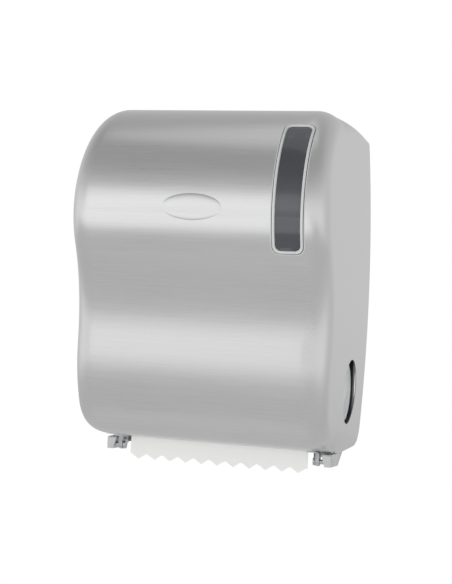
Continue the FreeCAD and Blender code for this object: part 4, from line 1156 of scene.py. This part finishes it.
# %% [markdown]
# The parts that need no new mesh keep the CAD model's own. They still get a finish, found by the
# material that the model's record gives each of them.

# %% Finish every other part
for name, node in frame["nodes"].items():
    material = FINISH_OF[SLOT_OF[name]]
    if not node.material_slots:
        node.data.materials.append(material)
    for place in node.material_slots:
        place.material = material
print("finished:", len(frame["nodes"]), "parts of the CAD model")

# %% [markdown]
# ## Stage, camera and light
#
# A plain pale floor lies well below, because the dispenser hangs on a wall. Satin steel is drawn
# almost wholly by what it mirrors, so the surroundings matter more than the lamps: a wide bright
# band in front at eye level, a dimmer zone above it, and a plainer grey behind. Brightness is given
# against elevation, in degrees above the horizon.

# %% Surroundings
def by_elevation(rise, stops):
    """Brightness at a rise of 0 for straight down to 1 for straight up. It is halved in the ramp,
    because a ramp's colours stay below 1, and doubled again after it."""
    places = [((math.sin(math.radians(angle)) + 1.0) / 2.0, level / 2.0) for angle, level in stops]
    return rise.node("ShaderNodeValToRGB", {"stops": places}, 0, in0=rise)


FRONT_LIGHT = [(-80, 0.56), (-50, 0.64), (-24, 0.68), (-12, 0.91), (-2, 1.11), (7, 0.99), (17, 0.72),
               (28, 0.56), (40, 0.46), (60, 0.43), (80, 0.50)]
REAR_LIGHT = [(-60, 0.50), (-24, 0.54), (-11, 0.62), (-2, 0.75), (10, 0.76), (30, 0.64),
              (60, 0.52), (80, 0.52)]


def build_world():
    world = bpy.data.worlds.new("soft_studio")
    tree = empty_tree(world)
    way = add_node(tree, "ShaderNodeTexCoord", {}, 0)
    rise = way.part("Z") * 0.5 + 0.5
    behind = way.part("Y").band(-0.05, 0.60)
    front, rear = by_elevation(rise, FRONT_LIGHT), by_elevation(rise, REAR_LIGHT)
    level = (front * (1.0 - behind) + rear * behind) * 2.0
    seen = add_node(tree, "ShaderNodeLightPath", {}, 0)
    glow = add_node(tree, "ShaderNodeBackground", {}, 0, Color=(1.0, 1.0, 1.0),
                    Strength=level * (1.0 - seen) + seen)
    add_node(tree, "ShaderNodeOutputWorld", {}, 0, Surface=glow)
    return world


scene = bpy.context.scene
scene.world = build_world()
scene.view_settings.view_transform = "Standard"
print("world: stops in front and behind:", len(FRONT_LIGHT), len(REAR_LIGHT))

# %% [markdown]
# The floor glows white for the camera, so that it reads as a plain page, and for everything else it
# is mostly an ordinary pale grey. A Light Path node tells the two apart.

# %% Floor
FLOOR_LEVEL = -1400.0
FLOOR_REACH = 9000.0
FLOOR_GLOW, SEEN_GLOW = 0.3, 0.67


def pale_floor_material():
    material = bpy.data.materials.new("pale_floor")
    tree = empty_tree(material)
    diffuse = add_node(tree, "ShaderNodeBsdfDiffuse", {}, 0, Color=(0.82, 0.82, 0.82))
    glow = add_node(tree, "ShaderNodeEmission", {}, 0, Color=(1.0, 1.0, 1.0), Strength=1.02)
    seen = add_node(tree, "ShaderNodeLightPath", {}, 0)
    both = add_node(tree, "ShaderNodeMixShader", {}, 0, in0=seen * SEEN_GLOW + FLOOR_GLOW,
                    in1=diffuse, in2=glow)
    add_node(tree, "ShaderNodeOutputMaterial", {}, 0, Surface=both)
    return material


floor_mesh = bpy.data.meshes.new("pale_floor")
floor_mesh.from_pydata([at(FLOOR_REACH * x, FLOOR_REACH * depth, FLOOR_LEVEL)
                        for x, depth in ((-1, -1), (1, -1), (1, 1), (-1, 1))], [], [(0, 3, 2, 1)])
floor_mesh.materials.append(pale_floor_material())
pale_floor = bpy.data.objects.new("pale_floor", floor_mesh)
scene.collection.objects.link(pale_floor)
print("floor at", FLOOR_LEVEL, "mm")

# %% [markdown]
# Four soft lamps fill in what the surroundings leave dark. One stands in front and one overhead. The
# fill card lights paper and plastic from below eye level but is kept out of the steel's reflections.
# The table card lies flat before the cover and puts a soft gleam under the upper bulge.

# %% Lamps
def softbox(name, place, target, width, height, power):
    lamp = bpy.data.lights.new(name, "AREA")
    lamp.shape = "RECTANGLE"
    lamp.size, lamp.size_y, lamp.energy = width, height, power
    box = bpy.data.objects.new(name, lamp)
    box.location = place
    box.rotation_euler = (Vector(target) - Vector(place)).to_track_quat("-Z", "Y").to_euler()
    scene.collection.objects.link(box)
    return box


softbox("front_softbox", (-0.75, -1.9, 0.5), (0.0, -0.1, 0.17), 1.5, 0.6, 1.0)
softbox("top_softbox", (0.1, -0.2, 2.4), (0.0, -0.12, 0.17), 1.8, 1.8, 3.0)
fill_card = softbox("fill_card", (-0.35, -1.9, -0.05), (0.0, -0.1, 0.10), 1.4, 0.8, 9.0)
fill_card.visible_glossy = False
table_card = softbox("table_card", (-0.15, -0.62, 0.145), (-0.15, -0.62, 1.0), 1.1, 0.43, 0.95)
table_card.visible_camera = False

# %% [markdown]
# The camera stands a little to the right of the dispenser and just below its middle, and it is
# rolled by a few degrees. A long lens keeps upright edges nearly parallel.

# %% Camera
AZIMUTH, ROLL, FOCAL = math.radians(16.5608), math.radians(2.8572), 75.89
EYE = Vector((0.37914, -1.39236, 0.16534))
LOOK = Vector((-0.28455, 0.95866, 0.000380)).normalized()
level_right = Vector((math.cos(AZIMUTH), math.sin(AZIMUTH), 0.0))
level_up = level_right.cross(LOOK)
picture_right = math.cos(ROLL) * level_right + math.sin(ROLL) * level_up
picture_up = LOOK.cross(-picture_right).normalized()
lens = bpy.data.cameras.new("camera")
lens.sensor_fit = "AUTO"
lens.sensor_width = 36.0
lens.lens = FOCAL
lens.clip_start, lens.clip_end = 0.05, 60.0
camera = bpy.data.objects.new("camera", lens)
turned = Matrix((picture_right, picture_up, -LOOK)).transposed().to_4x4()
camera.matrix_world = Matrix.Translation(EYE) @ turned
scene.collection.objects.link(camera)
scene.camera = camera
print("camera:", round(math.degrees(lens.angle), 2), "degrees across")
